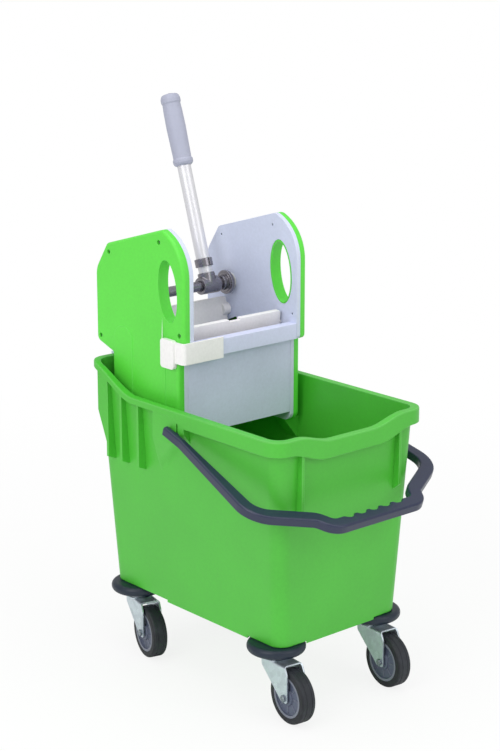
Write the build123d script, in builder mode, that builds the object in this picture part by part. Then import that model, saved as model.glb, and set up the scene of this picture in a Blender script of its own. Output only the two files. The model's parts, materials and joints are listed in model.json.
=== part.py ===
from build123d import *
import math
import os

# Mop bucket on swivel castors, with a bail handle and a lift-off jaw wringer.
# Millimetres. X runs along the bucket towards its pouring end, Y across it, Z up from the floor.
# The right side is at -Y and the left side at +Y, as seen by someone who looks along +X.

os.makedirs("parts", exist_ok=True)

SIDES = {"right": -1, "left": 1}

# Clearances
slip = 0.3
running_fit = 0.05

# Castors
wheel_diameter = 75.0
wheel_width = 22.0
tyre_depth = 9.0
tread_round = 5.0
axle_r = 3.0
hub_r = 11.0
core_rim = 3.0
web_thickness = 8.0
fork_sheet = 2.5
fork_gap = 1.6
fork_crown_x = 12.5
fork_crown_half = 25.5
fork_foot_r = 6.5
swivel_offset = 38.0
swivel_plate_r = 20.0
swivel_plate_thickness = 7.0
swivel_gap = 0.4
stem_r = 5.5
stem_length = 34.0
pintle_r = 5.0
pintle_head_r = 7.5
pintle_head_height = 1.5
castor_height = 90.0
castor_x = 149.0
castor_y = 90.0
axle_head_r = 5.0
axle_head_height = 3.0
headings = {"front_right": -6.0, "front_left": -6.0, "rear_right": -14.0, "rear_left": -9.0}

# Corner bumpers
bumper_r = 40.0
bumper_thickness = 14.0
bumper_round = 5.5

# Bucket
wall = 3.0
floor_thickness = 4.0
pan_drop = 3.0
pan_rear_x = -58.0
base_half_length = 180.0
base_half_width = 111.0
base_corner = 20.0
mouth_half_length = 194.0
mouth_half_width = 131.0
mouth_corner = 20.0
rim_z = 397.5
rear_rim_z = 434.0
swoop_rear_x = -196.0
swoop_front_x = -98.0
lip_overhang = 7.0
lip_sheet = 2.6
lip_depth = 9.5
skirt_depth = 21.0
skirt_rear_x = -16.0
skirt_full_x = 12.0
pour_dip = 12.0
pour_dip_flat = 36.0
pour_dip_end = 98.0
skirt_dip = 15.0
skirt_dip_flat = 50.0
skirt_dip_end = 112.0
pour_split_x = 172.0
socket_wall = 5.0
fin_foot_z = 294.0
fin_full_z = 299.0
fin_thickness = 4.5
fin_places = (-126.0, -88.0)
pillar_x = -166.5
pillar_width = 23.0
pillar_cut_z = 364.0
pillar_neck_z = 320.0
front_rib_y = 89.0
front_rib_foot_z = 288.0
front_rib_full_z = 296.0
ledge_width = 22.0
ledge_depth = 34.0

# Bail handle
bail_pivot_x = 1.0
bail_pivot_z = 364.5
bail_droop = 17.8
bail_side_gap = 1.0
bail_pin_r = 5.0
bail_thickness = 12.0
bail_web = 3.0
bail_arm_width = 9.0
bail_bar_width = 20.0
bail_tail = 18.0
bail_arm_straight = 18.0
bail_shoulder = 193.0
bail_half_span = 163.5
bail_neck = 234.0
bail_neck_half = 88.5
bail_reach = 256.5
bail_grip_half = 76.0
bail_bend_r = 60.0
bail_corner_r = 37.0
bail_neck_r = 23.0
bail_grip_bend_r = 19.5
bail_bracket_front = 14.0
bail_bracket_rear = 52.0
bail_bracket_full = 13.0
bail_bracket_foot = 68.0
bail_bracket_slant = 46.0
bail_slit = 3.0
finger_dent_r = 11.0
finger_dent_depth = 5.0
finger_dent_pitch = 22.0
finger_dents = 5

# Wringer casings
casing_face_y = 112.0
casing_split_y = 101.0
casing_inner_y = 94.0
casing_wall = 2.5
casing_rear_x = -210.0
casing_front_x = -14.0
casing_slant_z = 560.0
casing_top_rear_x = -184.0
casing_top_rear_z = 598.5
casing_peak_x = -60.0
casing_peak_z = 634.0
casing_brow_z = 612.0
shoulder_rear_z = 456.0
shoulder_front_z = 444.0
casing_foot_rear_x = -173.5
casing_foot_front_x = -27.0
casing_step_z = 458.0
casing_foot_z = 335.0
casing_corner_r = 10.0
casing_slant_r = 30.0
casing_top_rear_r = 8.0
casing_brow_r = 66.0
casing_peak_r = 12.0
casing_foot_r = 12.0
casing_step_r = 6.0
casing_nook_r = 3.0
casing_round = 5.0
hand_hole_x = -48.0
hand_hole_z = 551.0
hand_hole_height = 86.0
hand_hole_width = 39.0
hand_hole_lean = 7.0
screw_places = ((-178.0, 587.0), (-66.0, 616.0), (-200.0, 464.0), (-24.0, 494.0))
screw_r = 1.6
screw_length = 12.0
screw_head_r = 3.0
screw_head_height = 2.5
screw_recess = 5.0
screw_boss_r = 5.2
emboss_x = -147.5
emboss_half = 20.0
emboss_top_z = 485.5
emboss_foot_z = 347.0
emboss_height = 1.0
groove_x = -54.0
groove_top_z = 442.0
groove_width = 1.6
groove_depth = 1.0
liner_slot_width = 6.0
liner_slot_length = 28.0
liner_slot_rise = 24.0
liner_slot_places = ((-156.5, 461.0), (-49.0, 461.0))

# Wringer frame
rail_low_z = 459.0
rail_top_z = 481.5
rail_depth = 16.0
panel_sheet = 3.0
panel_foot_z = 349.0
rear_panel_top_z = 462.0
grate_thickness = 4.0
grate_slot_width = 6.0
grate_slot_length = 110.0
grate_slot_pitch = 14.0
grate_slots = 12

# Jaw drive
shaft_x = -158.0
shaft_z = 520.0
shaft_r = 7.5
journal_r = 5.0
gear_module = 1.5
tooth_root = 1.25
pinion_teeth = 14
jaw_gear_teeth = 42
sector_teeth = 8
sector_teeth_behind = 2
pressure_angle = 20.0
gear_thickness = 6.5
tooth_share = 0.42
jaw_pivot_drop = 41.5
trunnion_r = 6.0
trunnion_boss_r = 9.0
trunnion_boss_length = 10.0
bush_r = 10.5
bush_depth = 5.5
bush_flange_r = 13.0
bush_flange_thickness = 1.5
shaft_flange_r = 17.5
shaft_flange_thickness = 5.0
shaft_flange_hub_r = 11.0
shaft_flange_hub_length = 8.0
left_flange_y = 87.5
spring_wire_r = 1.2
spring_turns = 4
spring_pitch = 3.4
spring_mean_r = 11.6

# Jaws
jaw_half_width = 91.0
jaw_thickness = 8.0
jaw_top_z = 496.5
jaw_foot_z = 361.0
press_jaw_drop = 23.5
press_jaw_top_x = -168.0
press_jaw_foot_x = -152.0
front_jaw_top_x = -48.0
front_jaw_foot_x = -62.0
jaw_pin_r = 3.0
jaw_pin_length = 5.0
jaw_pin_drop = 18.0
jaw_pin_rise = 19.0
jaw_slot_width = 5.0
jaw_slot_length = 70.0
jaw_slot_pitch = 16.0
jaw_slots = 10
jaw_notch_depth = 3.0
jaw_notch_width = 20.0
jaw_notch_y = 5.0

# Corner clip
clip_sheet = 3.0
clip_low_z = 455.0
clip_high_z = 485.0
clip_rear_x = -57.0
clip_front_end_y = -44.0
clip_corner_r = 6.0
clip_block_length = 28.0
clip_block_low_z = 446.5
clip_block_high_z = 487.0
clip_block_corner = 5.0
clip_block_height = 4.0

# Lever
lever_y = 52.0
lever_tilt = 17.65
tube_r = 10.0
tube_wall = 1.5
tube_start = 9.0
tube_end = 274.0
socket_r = 12.5
socket_half_length = 16.0
socket_top = 18.0
collar_start = 27.0
collar_end = 39.0
collar_r = 13.0
collar_slit = 2.0
grip_start = 176.0
grip_end = 283.0
grip_r = 14.6
grip_foot_r = 11.8
grip_top_r = 13.6
grip_flare = 8.0

# Places that follow from the sizes above
wheel_r = wheel_diameter / 2
core_r = wheel_r - tyre_depth
leg_y = wheel_width / 2 + fork_gap
crown_z = castor_height - swivel_plate_thickness - swivel_gap
floor_z = castor_height + bumper_thickness
lip_half_length = mouth_half_length + lip_overhang
lip_half_width = mouth_half_width + lip_overhang
lip_corner = mouth_corner + lip_overhang
bail_arm_y = lip_half_width + bail_side_gap + bail_arm_width / 2
cover_plate_y = casing_face_y - casing_wall
liner_plate_y = casing_inner_y + casing_wall
bush_end_y = casing_inner_y + bush_depth
bush_face_y = casing_inner_y - bush_flange_thickness
gear_y = casing_split_y + slip
gear_face_y = gear_y + gear_thickness
pinion_pitch_r = gear_module * pinion_teeth / 2
jaw_gear_pitch_r = gear_module * jaw_gear_teeth / 2
centre_distance = pinion_pitch_r + jaw_gear_pitch_r
shaft_place = (shaft_x, shaft_z)
press_jaw_top_z = shaft_z - press_jaw_drop
jaw_pivot_z = shaft_z - jaw_pivot_drop
jaw_pivot_x = shaft_x - math.sqrt(centre_distance**2 - jaw_pivot_drop**2)
jaw_pivot = (jaw_pivot_x, jaw_pivot_z)
mesh_angle = math.degrees(math.atan2(shaft_z - jaw_pivot_z, shaft_x - jaw_pivot_x))
tilt = math.radians(lever_tilt)
lever_axis = Vector(-math.sin(tilt), 0, math.cos(tilt))
lever_foot = Vector(shaft_x, lever_y, shaft_z)


def save(piece, node):
    """Label a finished piece and write it under its node's name."""
    piece.part.label = node
    export_step(piece.part, f"parts/{node}.step")


def span(y_a, y_b):
    """Sketch plane and depth of a slab that lies between two places across the bucket."""
    return Plane.XZ.offset(-max(y_a, y_b)), abs(y_a - y_b)


def at_height(base, mouth, z):
    """Half size of the tapered wall at a height."""
    return base + (mouth - base) * (z - floor_z) / (rear_rim_z - floor_z)


def wall_x(z):
    """Outside of the pouring end's wall at a height."""
    return at_height(base_half_length, mouth_half_length, z)


def wall_y(z):
    """Outside of a side wall at a height."""
    return at_height(base_half_width, mouth_half_width, z)


def tapered_block(inset, z_low, z_high):
    """Block inside the bucket's tapered wall, drawn in from its outside by an inset."""
    with BuildPart() as block:
        for z in (z_low, z_high):
            with BuildSketch(Plane.XY.offset(z)):
                RectangleRounded(
                    2 * (wall_x(z) - inset),
                    2 * (wall_y(z) - inset),
                    at_height(base_corner, mouth_corner, z) - inset,
                )
        loft()
    return block.part


def rim_line(drop, front_x):
    """Side view of the rim's top edge: high at the wringer, then a swoop down to the open end."""
    start = (-2 * lip_half_length, rear_rim_z - drop)
    rear = Line(start, (swoop_rear_x, rear_rim_z - drop))
    swoop = Spline(rear @ 1, (swoop_front_x, rim_z - drop), tangents=((1, 0), (1, 0)))
    return Line(swoop @ 1, (front_x, rim_z - drop))


def dipped_line(high, dip, flat_y, end_y):
    """Front view of an edge across the pouring end, which dips in the middle."""
    low = high - dip
    first = Line((-2 * lip_half_width, high), (-end_y, high))
    fall = Spline(first @ 1, (-flat_y, low), tangents=((1, 0), (1, 0)))
    flat = Line(fall @ 1, (flat_y, low))
    rise = Spline(flat @ 1, (end_y, high), tangents=((1, 0), (1, 0)))
    return Line(rise @ 1, (2 * lip_half_width, high))


def pour_line(drop):
    """The rim's top edge at the pouring end."""
    return dipped_line(rim_z - drop, pour_dip, pour_dip_flat, pour_dip_end)


def skirt_line(drop):
    """The skirt's foot at the pouring end."""
    return dipped_line(rim_z - skirt_depth - drop, skirt_dip, skirt_dip_flat, skirt_dip_end)


def rim_band(inset, top_drop, extra_depth):
    """Band under the rim line all round the bucket, drawn in from the lip's outside by an inset."""
    lip_foot = lip_depth + extra_depth
    skirt_foot_z = rim_z - skirt_depth - extra_depth
    rear_x = -2 * lip_half_length
    with BuildPart() as band:
        with BuildSketch(Plane.XZ):
            with BuildLine():
                top = rim_line(top_drop, pour_split_x)
                foot = rim_line(lip_foot, skirt_rear_x)
                Polyline(foot @ 1, (skirt_full_x, skirt_foot_z), (pour_split_x, skirt_foot_z), top @ 1)
                Line((rear_x, rear_rim_z - lip_foot), (rear_x, rear_rim_z - top_drop))
            make_face()
        extrude(amount=lip_half_width, both=True)
        with BuildSketch(Plane.YZ.offset(pour_split_x)):
            with BuildLine():
                top_end = pour_line(top_drop) @ 1
                foot_end = skirt_line(extra_depth) @ 1
                Line(top_end, foot_end)
                Line((-2 * lip_half_width, rim_z - top_drop), (-2 * lip_half_width, skirt_foot_z))
            make_face()
        extrude(amount=lip_half_length - pour_split_x)
        with BuildSketch(Plane.XY.offset(floor_z)):
            RectangleRounded(
                2 * (lip_half_length - inset), 2 * (lip_half_width - inset), lip_corner - inset
            )
        extrude(amount=rear_rim_z, mode=Mode.INTERSECT)
    return band.part


def above_rim():
    """Everything higher than the rim line."""
    sky_z = rear_rim_z + skirt_depth
    end_x = 2 * lip_half_length
    end_y = 2 * lip_half_width
    with BuildPart() as sky:
        with BuildSketch(Plane.XZ):
            with BuildLine():
                end = rim_line(0, end_x) @ 1
                Polyline(end, (end_x, sky_z), (-end_x, sky_z), (-end_x, rear_rim_z))
            make_face()
        extrude(amount=end_y, both=True)
        with BuildSketch(Plane.YZ.offset(pour_split_x)):
            with BuildLine():
                end = pour_line(0) @ 1
                Polyline(end, (end_y, sky_z), (-end_y, sky_z), (-end_y, rim_z))
            make_face()
        extrude(amount=lip_half_length)
    return sky.part


def fin_face(side):
    """Section of an upright fin between a side wall and the lip, with a slanted foot."""
    inner_y = side * (wall_y(fin_foot_z) - wall)
    outer_y = side * (lip_half_width - lip_sheet)
    with BuildSketch() as face:
        with BuildLine():
            Polyline(
                (inner_y, fin_foot_z),
                (side * wall_y(fin_foot_z), fin_foot_z),
                (outer_y, fin_full_z),
                (outer_y, rear_rim_z),
                (inner_y, rear_rim_z),
                close=True,
            )
        make_face()
    return face.sketch


def pillar(side):
    """Pillar under the lip near the rear corner, cut away behind its foot."""
    rear_x = pillar_x - pillar_width / 2
    front_x = pillar_x + pillar_width / 2
    with BuildPart() as block:
        with BuildSketch(Plane.YZ.offset(rear_x)):
            add(fin_face(side))
        extrude(amount=pillar_width)
        with BuildSketch(Plane.XZ):
            with BuildLine():
                Polyline(
                    (rear_x, rear_rim_z),
                    (rear_x, pillar_cut_z),
                    (front_x - fin_thickness, pillar_neck_z),
                    (front_x - fin_thickness, fin_foot_z),
                    (front_x, fin_foot_z),
                    (front_x, rear_rim_z),
                    close=True,
                )
            make_face()
        extrude(amount=2 * lip_half_width, both=True, mode=Mode.INTERSECT)
    return block.part


def bracket_face(side):
    """Section of the pad that a bail pin turns in, which fades into the wall below it."""
    inner_y = side * (wall_y(bracket_foot_z) - wall)
    outer_y = side * lip_half_width
    with BuildSketch() as face:
        with BuildLine():
            Polyline(
                (inner_y, bracket_foot_z),
                (side * wall_y(bracket_foot_z), bracket_foot_z),
                (outer_y, bail_pivot_z - bail_bracket_full),
                (outer_y, bracket_top_z),
                (inner_y, bracket_top_z),
                close=True,
            )
        make_face()
    return face.sketch


def bracket(side):
    """Pad that a bail pin turns in, cut away slantwise under the bail's arm."""
    rear_x = bail_pivot_x - bail_bracket_rear
    front_x = bail_pivot_x + bail_bracket_front
    with BuildPart() as pad:
        with BuildSketch(Plane.YZ.offset(rear_x)):
            add(bracket_face(side))
        extrude(amount=front_x - rear_x)
        with BuildSketch(Plane.XZ):
            with BuildLine():
                Polyline(
                    (rear_x, bracket_top_z),
                    (rear_x, bracket_foot_z),
                    (front_x - bail_bracket_slant, bracket_foot_z),
                    (front_x, bail_pivot_z - bail_bracket_full),
                    (front_x, bracket_top_z),
                    close=True,
                )
            make_face()
        extrude(amount=2 * lip_half_width, both=True, mode=Mode.INTERSECT)
    return pad.part


def front_rib_face():
    """Section of a rib between the pouring end's wall and its skirt."""
    inner_x = wall_x(front_rib_foot_z) - wall
    outer_x = lip_half_length - lip_sheet
    top_z = rim_z - pour_dip - lip_sheet
    with BuildSketch() as face:
        with BuildLine():
            Polyline(
                (inner_x, front_rib_foot_z),
                (wall_x(front_rib_foot_z), front_rib_foot_z),
                (outer_x, front_rib_full_z),
                (outer_x, top_z),
                (inner_x, top_z),
                close=True,
            )
        make_face()
    return face.sketch


def ledge_face(side):
    """Section of a gusset inside the bucket that a casing's foot stands on."""
    top_z = casing_foot_z - slip
    foot_z = top_z - ledge_depth
    with BuildSketch() as face:
        with BuildLine():
            Polyline(
                (side * casing_inner_y, top_z),
                (side * (wall_y(top_z) - wall / 2), top_z),
                (side * (wall_y(foot_z) - wall / 2), foot_z),
                close=True,
            )
        make_face()
    return face.sketch


# Bucket: one moulding
lip_solid = rim_band(0, 0, 0)
lip_hollow = rim_band(lip_sheet, lip_sheet, wall)
outer_block = tapered_block(0, floor_z, rear_rim_z)
inner_block = tapered_block(wall, floor_z + floor_thickness, rear_rim_z + skirt_depth)
sky = above_rim()
castor_places = [(x, y) for x in (castor_x, -castor_x) for y in (castor_y, -castor_y)]
bracket_top_z = rim_z - lip_depth
bracket_foot_z = bail_pivot_z - bail_bracket_foot
ledge_places = (casing_foot_front_x - casing_foot_r - ledge_width, casing_foot_rear_x + casing_foot_r)

with BuildPart() as bucket:
    add(lip_solid)
    add(lip_hollow, mode=Mode.SUBTRACT)
    add(outer_block)
    for side in SIDES.values():
        # fins under the lip beside the wringer
        add(pillar(side))
        for x in fin_places:
            with BuildSketch(Plane.YZ.offset(x - fin_thickness / 2)):
                add(fin_face(side))
            extrude(amount=fin_thickness)
        # pad that the bail's pin turns in
        add(bracket(side))
        # rib under the lip at the pouring end
        rib_y = side * front_rib_y
        plane, depth = span(rib_y - fin_thickness / 2, rib_y + fin_thickness / 2)
        with BuildSketch(plane):
            add(front_rib_face())
        extrude(amount=depth)
    add(sky, mode=Mode.SUBTRACT)
    add(inner_block, mode=Mode.SUBTRACT)
    # the floor under the open end is a little lower than under the wringer
    with BuildSketch(Plane.XY.offset(floor_z)):
        RectangleRounded(2 * base_half_length, 2 * base_half_width, base_corner)
        with Locations((pan_rear_x - base_half_length, 0)):
            Rectangle(2 * base_half_length, 2 * base_half_width, mode=Mode.SUBTRACT)
        with Locations(*castor_places):
            Circle(bumper_r + slip, mode=Mode.SUBTRACT)
    extrude(amount=-pan_drop)
    for side in SIDES.values():
        for x in ledge_places:
            with BuildSketch(Plane.YZ.offset(x)):
                add(ledge_face(side))
            extrude(amount=ledge_width)
        plane, depth = span(side * mouth_half_width, side * 2 * lip_half_width)
        with BuildSketch(plane):
            with Locations((bail_pivot_x, bail_pivot_z)):
                Circle(bail_pin_r + running_fit)
            with Locations((bail_pivot_x, (bail_pivot_z + bracket_top_z) / 2)):
                Rectangle(bail_slit, bracket_top_z - bail_pivot_z - bail_slit)
        extrude(amount=depth, mode=Mode.SUBTRACT)
    # blind sockets for the castor stems
    with BuildSketch(Plane.XY.offset(floor_z)):
        with Locations(*castor_places):
            Circle(stem_r + socket_wall)
    extrude(amount=stem_length + socket_wall)
    with BuildSketch(Plane.XY.offset(floor_z)):
        with Locations(*castor_places):
            Circle(stem_r + running_fit)
    extrude(amount=stem_length + slip, mode=Mode.SUBTRACT)
save(bucket, "bucket")


def make_castor(place, heading):
    """Bumper and swivel castor under one corner of the bucket."""
    end, side = place.split("_")
    x = castor_x if end == "front" else -castor_x
    y = castor_y * SIDES[side]
    turn = math.radians(heading)
    ground = Plane(origin=(x, y, 0), x_dir=(math.cos(turn), math.sin(turn), 0), z_dir=(0, 0, 1))
    profile = Plane(origin=(x, y, 0), x_dir=ground.x_dir, z_dir=-ground.y_dir)
    axle_place = (swivel_offset, wheel_r)
    outside = leg_y + fork_sheet

    with BuildPart() as bumper:
        with BuildSketch(ground.offset(castor_height)):
            Circle(bumper_r)
        extrude(amount=bumper_thickness)
        fillet(bumper.edges().filter_by(GeomType.CIRCLE), bumper_round)
        with BuildSketch(ground.offset(castor_height)):
            Circle(stem_r + running_fit)
        extrude(amount=bumper_thickness, mode=Mode.SUBTRACT)
    save(bumper, f"bumper_{place}")

    with BuildPart() as stem:
        head_z = crown_z - fork_sheet - swivel_gap
        with BuildSketch(ground.offset(castor_height)):
            Circle(stem_r)
        extrude(amount=bumper_thickness + stem_length)
        with BuildSketch(ground.offset(castor_height)):
            Circle(swivel_plate_r)
        extrude(amount=-swivel_plate_thickness)
        with BuildSketch(ground.offset(castor_height)):
            Circle(pintle_r)
        extrude(amount=head_z - castor_height)
        with BuildSketch(ground.offset(head_z)):
            Circle(pintle_head_r)
        extrude(amount=-pintle_head_height)
    save(stem, f"castor_stem_{place}")

    with BuildPart() as fork:
        waist_z = crown_z - 2 * fork_foot_r
        with BuildSketch(ground.offset(crown_z)):
            Circle(swivel_plate_r)
            with Locations((fork_crown_x, 0)):
                Rectangle(2 * fork_crown_half, 2 * outside)
        extrude(amount=-fork_sheet)
        for face in (outside, -leg_y):
            with BuildSketch(profile.offset(face)):
                with BuildLine():
                    FilletPolyline(
                        (fork_crown_x - fork_crown_half, crown_z),
                        (fork_crown_x - fork_crown_half, waist_z),
                        (swivel_offset - fork_foot_r, wheel_r - fork_foot_r),
                        (swivel_offset + fork_foot_r, wheel_r - fork_foot_r),
                        (fork_crown_x + fork_crown_half + fork_foot_r, waist_z),
                        (fork_crown_x + fork_crown_half, crown_z),
                        radius=[0, fork_foot_r, fork_foot_r / 2, fork_foot_r / 2, fork_foot_r, 0],
                        close=True,
                    )
                make_face()
            extrude(amount=-fork_sheet)
        with BuildSketch(ground.offset(crown_z)):
            Circle(pintle_r + running_fit)
        extrude(amount=-fork_sheet, mode=Mode.SUBTRACT)
        with BuildSketch(profile.offset(outside)):
            with Locations(axle_place):
                Circle(axle_r + running_fit)
        extrude(amount=-2 * outside, mode=Mode.SUBTRACT)
    save(fork, f"fork_{place}")

    with BuildPart() as axle:
        with BuildSketch(profile.offset(outside)):
            with Locations(axle_place):
                Circle(axle_r)
        extrude(amount=-2 * outside)
        for face in (outside + axle_head_height, -outside):
            with BuildSketch(profile.offset(face)):
                with Locations(axle_place):
                    RegularPolygon(axle_head_r, 6)
            extrude(amount=-axle_head_height)
    save(axle, f"axle_{place}")

    with BuildPart() as core:
        dish = (wheel_width - web_thickness) / 2
        with BuildSketch(profile.offset(wheel_width / 2)):
            with Locations(axle_place):
                Circle(core_r)
        extrude(amount=-wheel_width)
        for face in (wheel_width / 2, dish - wheel_width / 2):
            with BuildSketch(profile.offset(face)):
                with Locations(axle_place):
                    Circle(core_r - core_rim)
                    Circle(hub_r, mode=Mode.SUBTRACT)
            extrude(amount=-dish, mode=Mode.SUBTRACT)
        with BuildSketch(profile.offset(wheel_width / 2)):
            with Locations(axle_place):
                Circle(axle_r + running_fit)
        extrude(amount=-wheel_width, mode=Mode.SUBTRACT)
    save(core, f"wheel_core_{place}")

    with BuildPart() as tyre:
        with BuildSketch(profile.offset(wheel_width / 2)):
            with Locations(axle_place):
                Circle(wheel_r)
        extrude(amount=-wheel_width)
        fillet(tyre.edges().filter_by(GeomType.CIRCLE), tread_round)
        with BuildSketch(profile.offset(wheel_width / 2)):
            with Locations(axle_place):
                Circle(core_r + running_fit)
        extrude(amount=-wheel_width, mode=Mode.SUBTRACT)
    save(tyre, f"tyre_{place}")


for place, heading in headings.items():
    make_castor(place, heading)


def mitre(before, corner, after, distance):
    """Corner of a line that runs at a distance to the left of two edges."""
    first = (corner - before).normalized().rotate(Axis.Z, 90)
    second = (after - corner).normalized().rotate(Axis.Z, 90)
    middle = first + second
    return corner + middle * (distance / middle.dot(first))


def bail_edge(edge):
    """One edge of the bail, outer (1) or inner (-1): along a widening arm, round the bar and back."""
    arm = edge * bail_arm_width / 2
    bar = edge * bail_bar_width / 2
    line = [
        Vector(bail_arm_straight, bail_arm_y),
        Vector(bail_shoulder, bail_half_span),
        Vector(bail_neck, bail_neck_half),
        Vector(bail_reach, bail_grip_half),
        Vector(bail_reach, 0),
    ]
    half = [
        Vector(-bail_tail, bail_arm_y + arm),
        Vector(bail_arm_straight, bail_arm_y + arm),
        mitre(*line[0:3], bar),
        mitre(*line[1:4], bar),
        mitre(*line[2:5], bar),
    ]
    bends = [bail_bend_r, bail_corner_r + bar, bail_neck_r - bar, bail_grip_bend_r + bar]
    points = [(p.X, -p.Y) for p in half] + [(p.X, p.Y) for p in reversed(half)]
    return FilletPolyline(*points, radius=bends + bends[::-1])


def bail_face(inset):
    """Plan of the bail between its edges, drawn in by an inset, with dents for the fingers."""
    grip_inside = bail_reach - bail_bar_width / 2
    with BuildSketch() as face:
        with BuildLine():
            outer = bail_edge(1)
            inner = bail_edge(-1)
            Line(outer @ 0, inner @ 0)
            Line(outer @ 1, inner @ 1)
        make_face()
        with Locations((grip_inside - finger_dent_r + finger_dent_depth, 0)):
            with GridLocations(1, finger_dent_pitch, 1, finger_dents):
                Circle(finger_dent_r, mode=Mode.SUBTRACT)
        if inset:
            offset(amount=-inset, mode=Mode.REPLACE)
    return face.sketch


# Bail handle: a flat channel, open below, that hangs forward from its two pivots
droop = math.radians(bail_droop)
bail_plane = Plane(
    origin=(bail_pivot_x, 0, bail_pivot_z),
    x_dir=(math.cos(droop), 0, -math.sin(droop)),
    z_dir=(math.sin(droop), 0, math.cos(droop)),
)
with BuildPart() as bail:
    with BuildSketch(bail_plane.offset(-bail_thickness / 2)):
        add(bail_face(0))
    extrude(amount=bail_thickness)
    with BuildSketch(bail_plane.offset(-bail_thickness / 2)):
        add(bail_face(bail_web))
    extrude(amount=bail_thickness - bail_web, mode=Mode.SUBTRACT)
    for side in SIDES.values():
        plane, depth = span(side * mouth_half_width, side * (bail_arm_y + bail_arm_width / 2))
        with BuildSketch(plane):
            with Locations((bail_pivot_x, bail_pivot_z)):
                Circle(bail_pin_r)
        extrude(amount=depth)
save(bail, "bail_handle")


def casing_outline(inset):
    """Side view of a wringer casing: a leaning top, a slanted rear corner, shoulders and a foot."""
    corners = (
        (casing_rear_x, shoulder_rear_z, casing_corner_r),
        (casing_rear_x, casing_slant_z, casing_slant_r),
        (casing_top_rear_x, casing_top_rear_z, casing_top_rear_r),
        (casing_peak_x, casing_peak_z, casing_peak_r),
        (casing_front_x, casing_brow_z, casing_brow_r),
        (casing_front_x, casing_step_z, casing_step_r),
        (casing_foot_front_x, casing_step_z, casing_nook_r),
        (casing_foot_front_x, casing_foot_z, casing_foot_r),
        (casing_foot_rear_x, casing_foot_z, casing_foot_r),
        (casing_foot_rear_x, shoulder_front_z, casing_nook_r),
    )
    with BuildSketch() as outline:
        with BuildLine():
            FilletPolyline(
                *[(x, z) for x, z, r in corners],
                radius=[r for x, z, r in corners],
                close=True,
            )
        make_face()
        if inset:
            offset(amount=-inset, mode=Mode.REPLACE)
    return outline.sketch


def hand_hole(grow):
    """Leaning oval that a hand reaches through."""
    with BuildSketch() as hole:
        with Locations((hand_hole_x, hand_hole_z)):
            Ellipse(hand_hole_width / 2 + grow, hand_hole_height / 2 + grow, rotation=hand_hole_lean)
    return hole.sketch


def front_jaw_x(z):
    """Middle of the front jaw at a height."""
    lean = (front_jaw_top_x - front_jaw_foot_x) / (jaw_top_z - jaw_foot_z)
    return front_jaw_foot_x + lean * (z - jaw_foot_z)


jaw_pins = [(front_jaw_x(z), z) for z in (jaw_top_z - jaw_pin_drop, jaw_foot_z + jaw_pin_rise)]


def make_cover(name, side):
    """Green outer shell of a casing, with screw posts and the sleeve of the hand hole."""
    with BuildPart() as cover:
        plane, depth = span(side * casing_face_y, side * casing_split_y)
        with BuildSketch(plane):
            add(casing_outline(0))
        extrude(amount=depth)
        outer_face = cover.faces().sort_by(Axis((0, 0, 0), (0, side, 0)))[-1]
        fillet(outer_face.edges(), casing_round)
        plane, depth = span(side * cover_plate_y, side * casing_split_y)
        with BuildSketch(plane):
            add(casing_outline(casing_wall))
        extrude(amount=depth, mode=Mode.SUBTRACT)
        with BuildSketch(plane):
            with Locations(*screw_places):
                Circle(screw_boss_r)
        extrude(amount=depth)
        plane, depth = span(side * cover_plate_y, side * casing_inner_y)
        with BuildSketch(plane):
            add(hand_hole(casing_wall))
        extrude(amount=depth)
        # raised panel below the jaw's pivot
        plane, depth = span(side * (casing_face_y + emboss_height), side * cover_plate_y)
        with BuildSketch(plane):
            with BuildLine():
                emboss_r = emboss_half - casing_wall
                FilletPolyline(
                    (emboss_x - emboss_half, emboss_foot_z),
                    (emboss_x - emboss_half, emboss_top_z),
                    (emboss_x + emboss_half, emboss_top_z),
                    (emboss_x + emboss_half, emboss_foot_z),
                    radius=[casing_nook_r, emboss_r, emboss_r, casing_nook_r],
                    close=True,
                )
            make_face()
        extrude(amount=depth)
        plane, depth = span(side * casing_face_y, side * (casing_face_y - groove_depth))
        with BuildSketch(plane):
            with Locations((groove_x, (groove_top_z + emboss_foot_z) / 2)):
                SlotOverall(groove_top_z - emboss_foot_z, groove_width, rotation=90)
        extrude(amount=depth, mode=Mode.SUBTRACT)
        plane, depth = span(side * casing_face_y, side * casing_inner_y)
        with BuildSketch(plane):
            add(hand_hole(0))
            with Locations(*screw_places):
                Circle(screw_r + running_fit)
        extrude(amount=depth, mode=Mode.SUBTRACT)
        plane, depth = span(side * casing_face_y, side * (casing_face_y - screw_recess))
        with BuildSketch(plane):
            with Locations(*screw_places):
                Circle(screw_head_r + slip)
        extrude(amount=depth, mode=Mode.SUBTRACT)
    save(cover, f"casing_cover_{name}")


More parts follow.
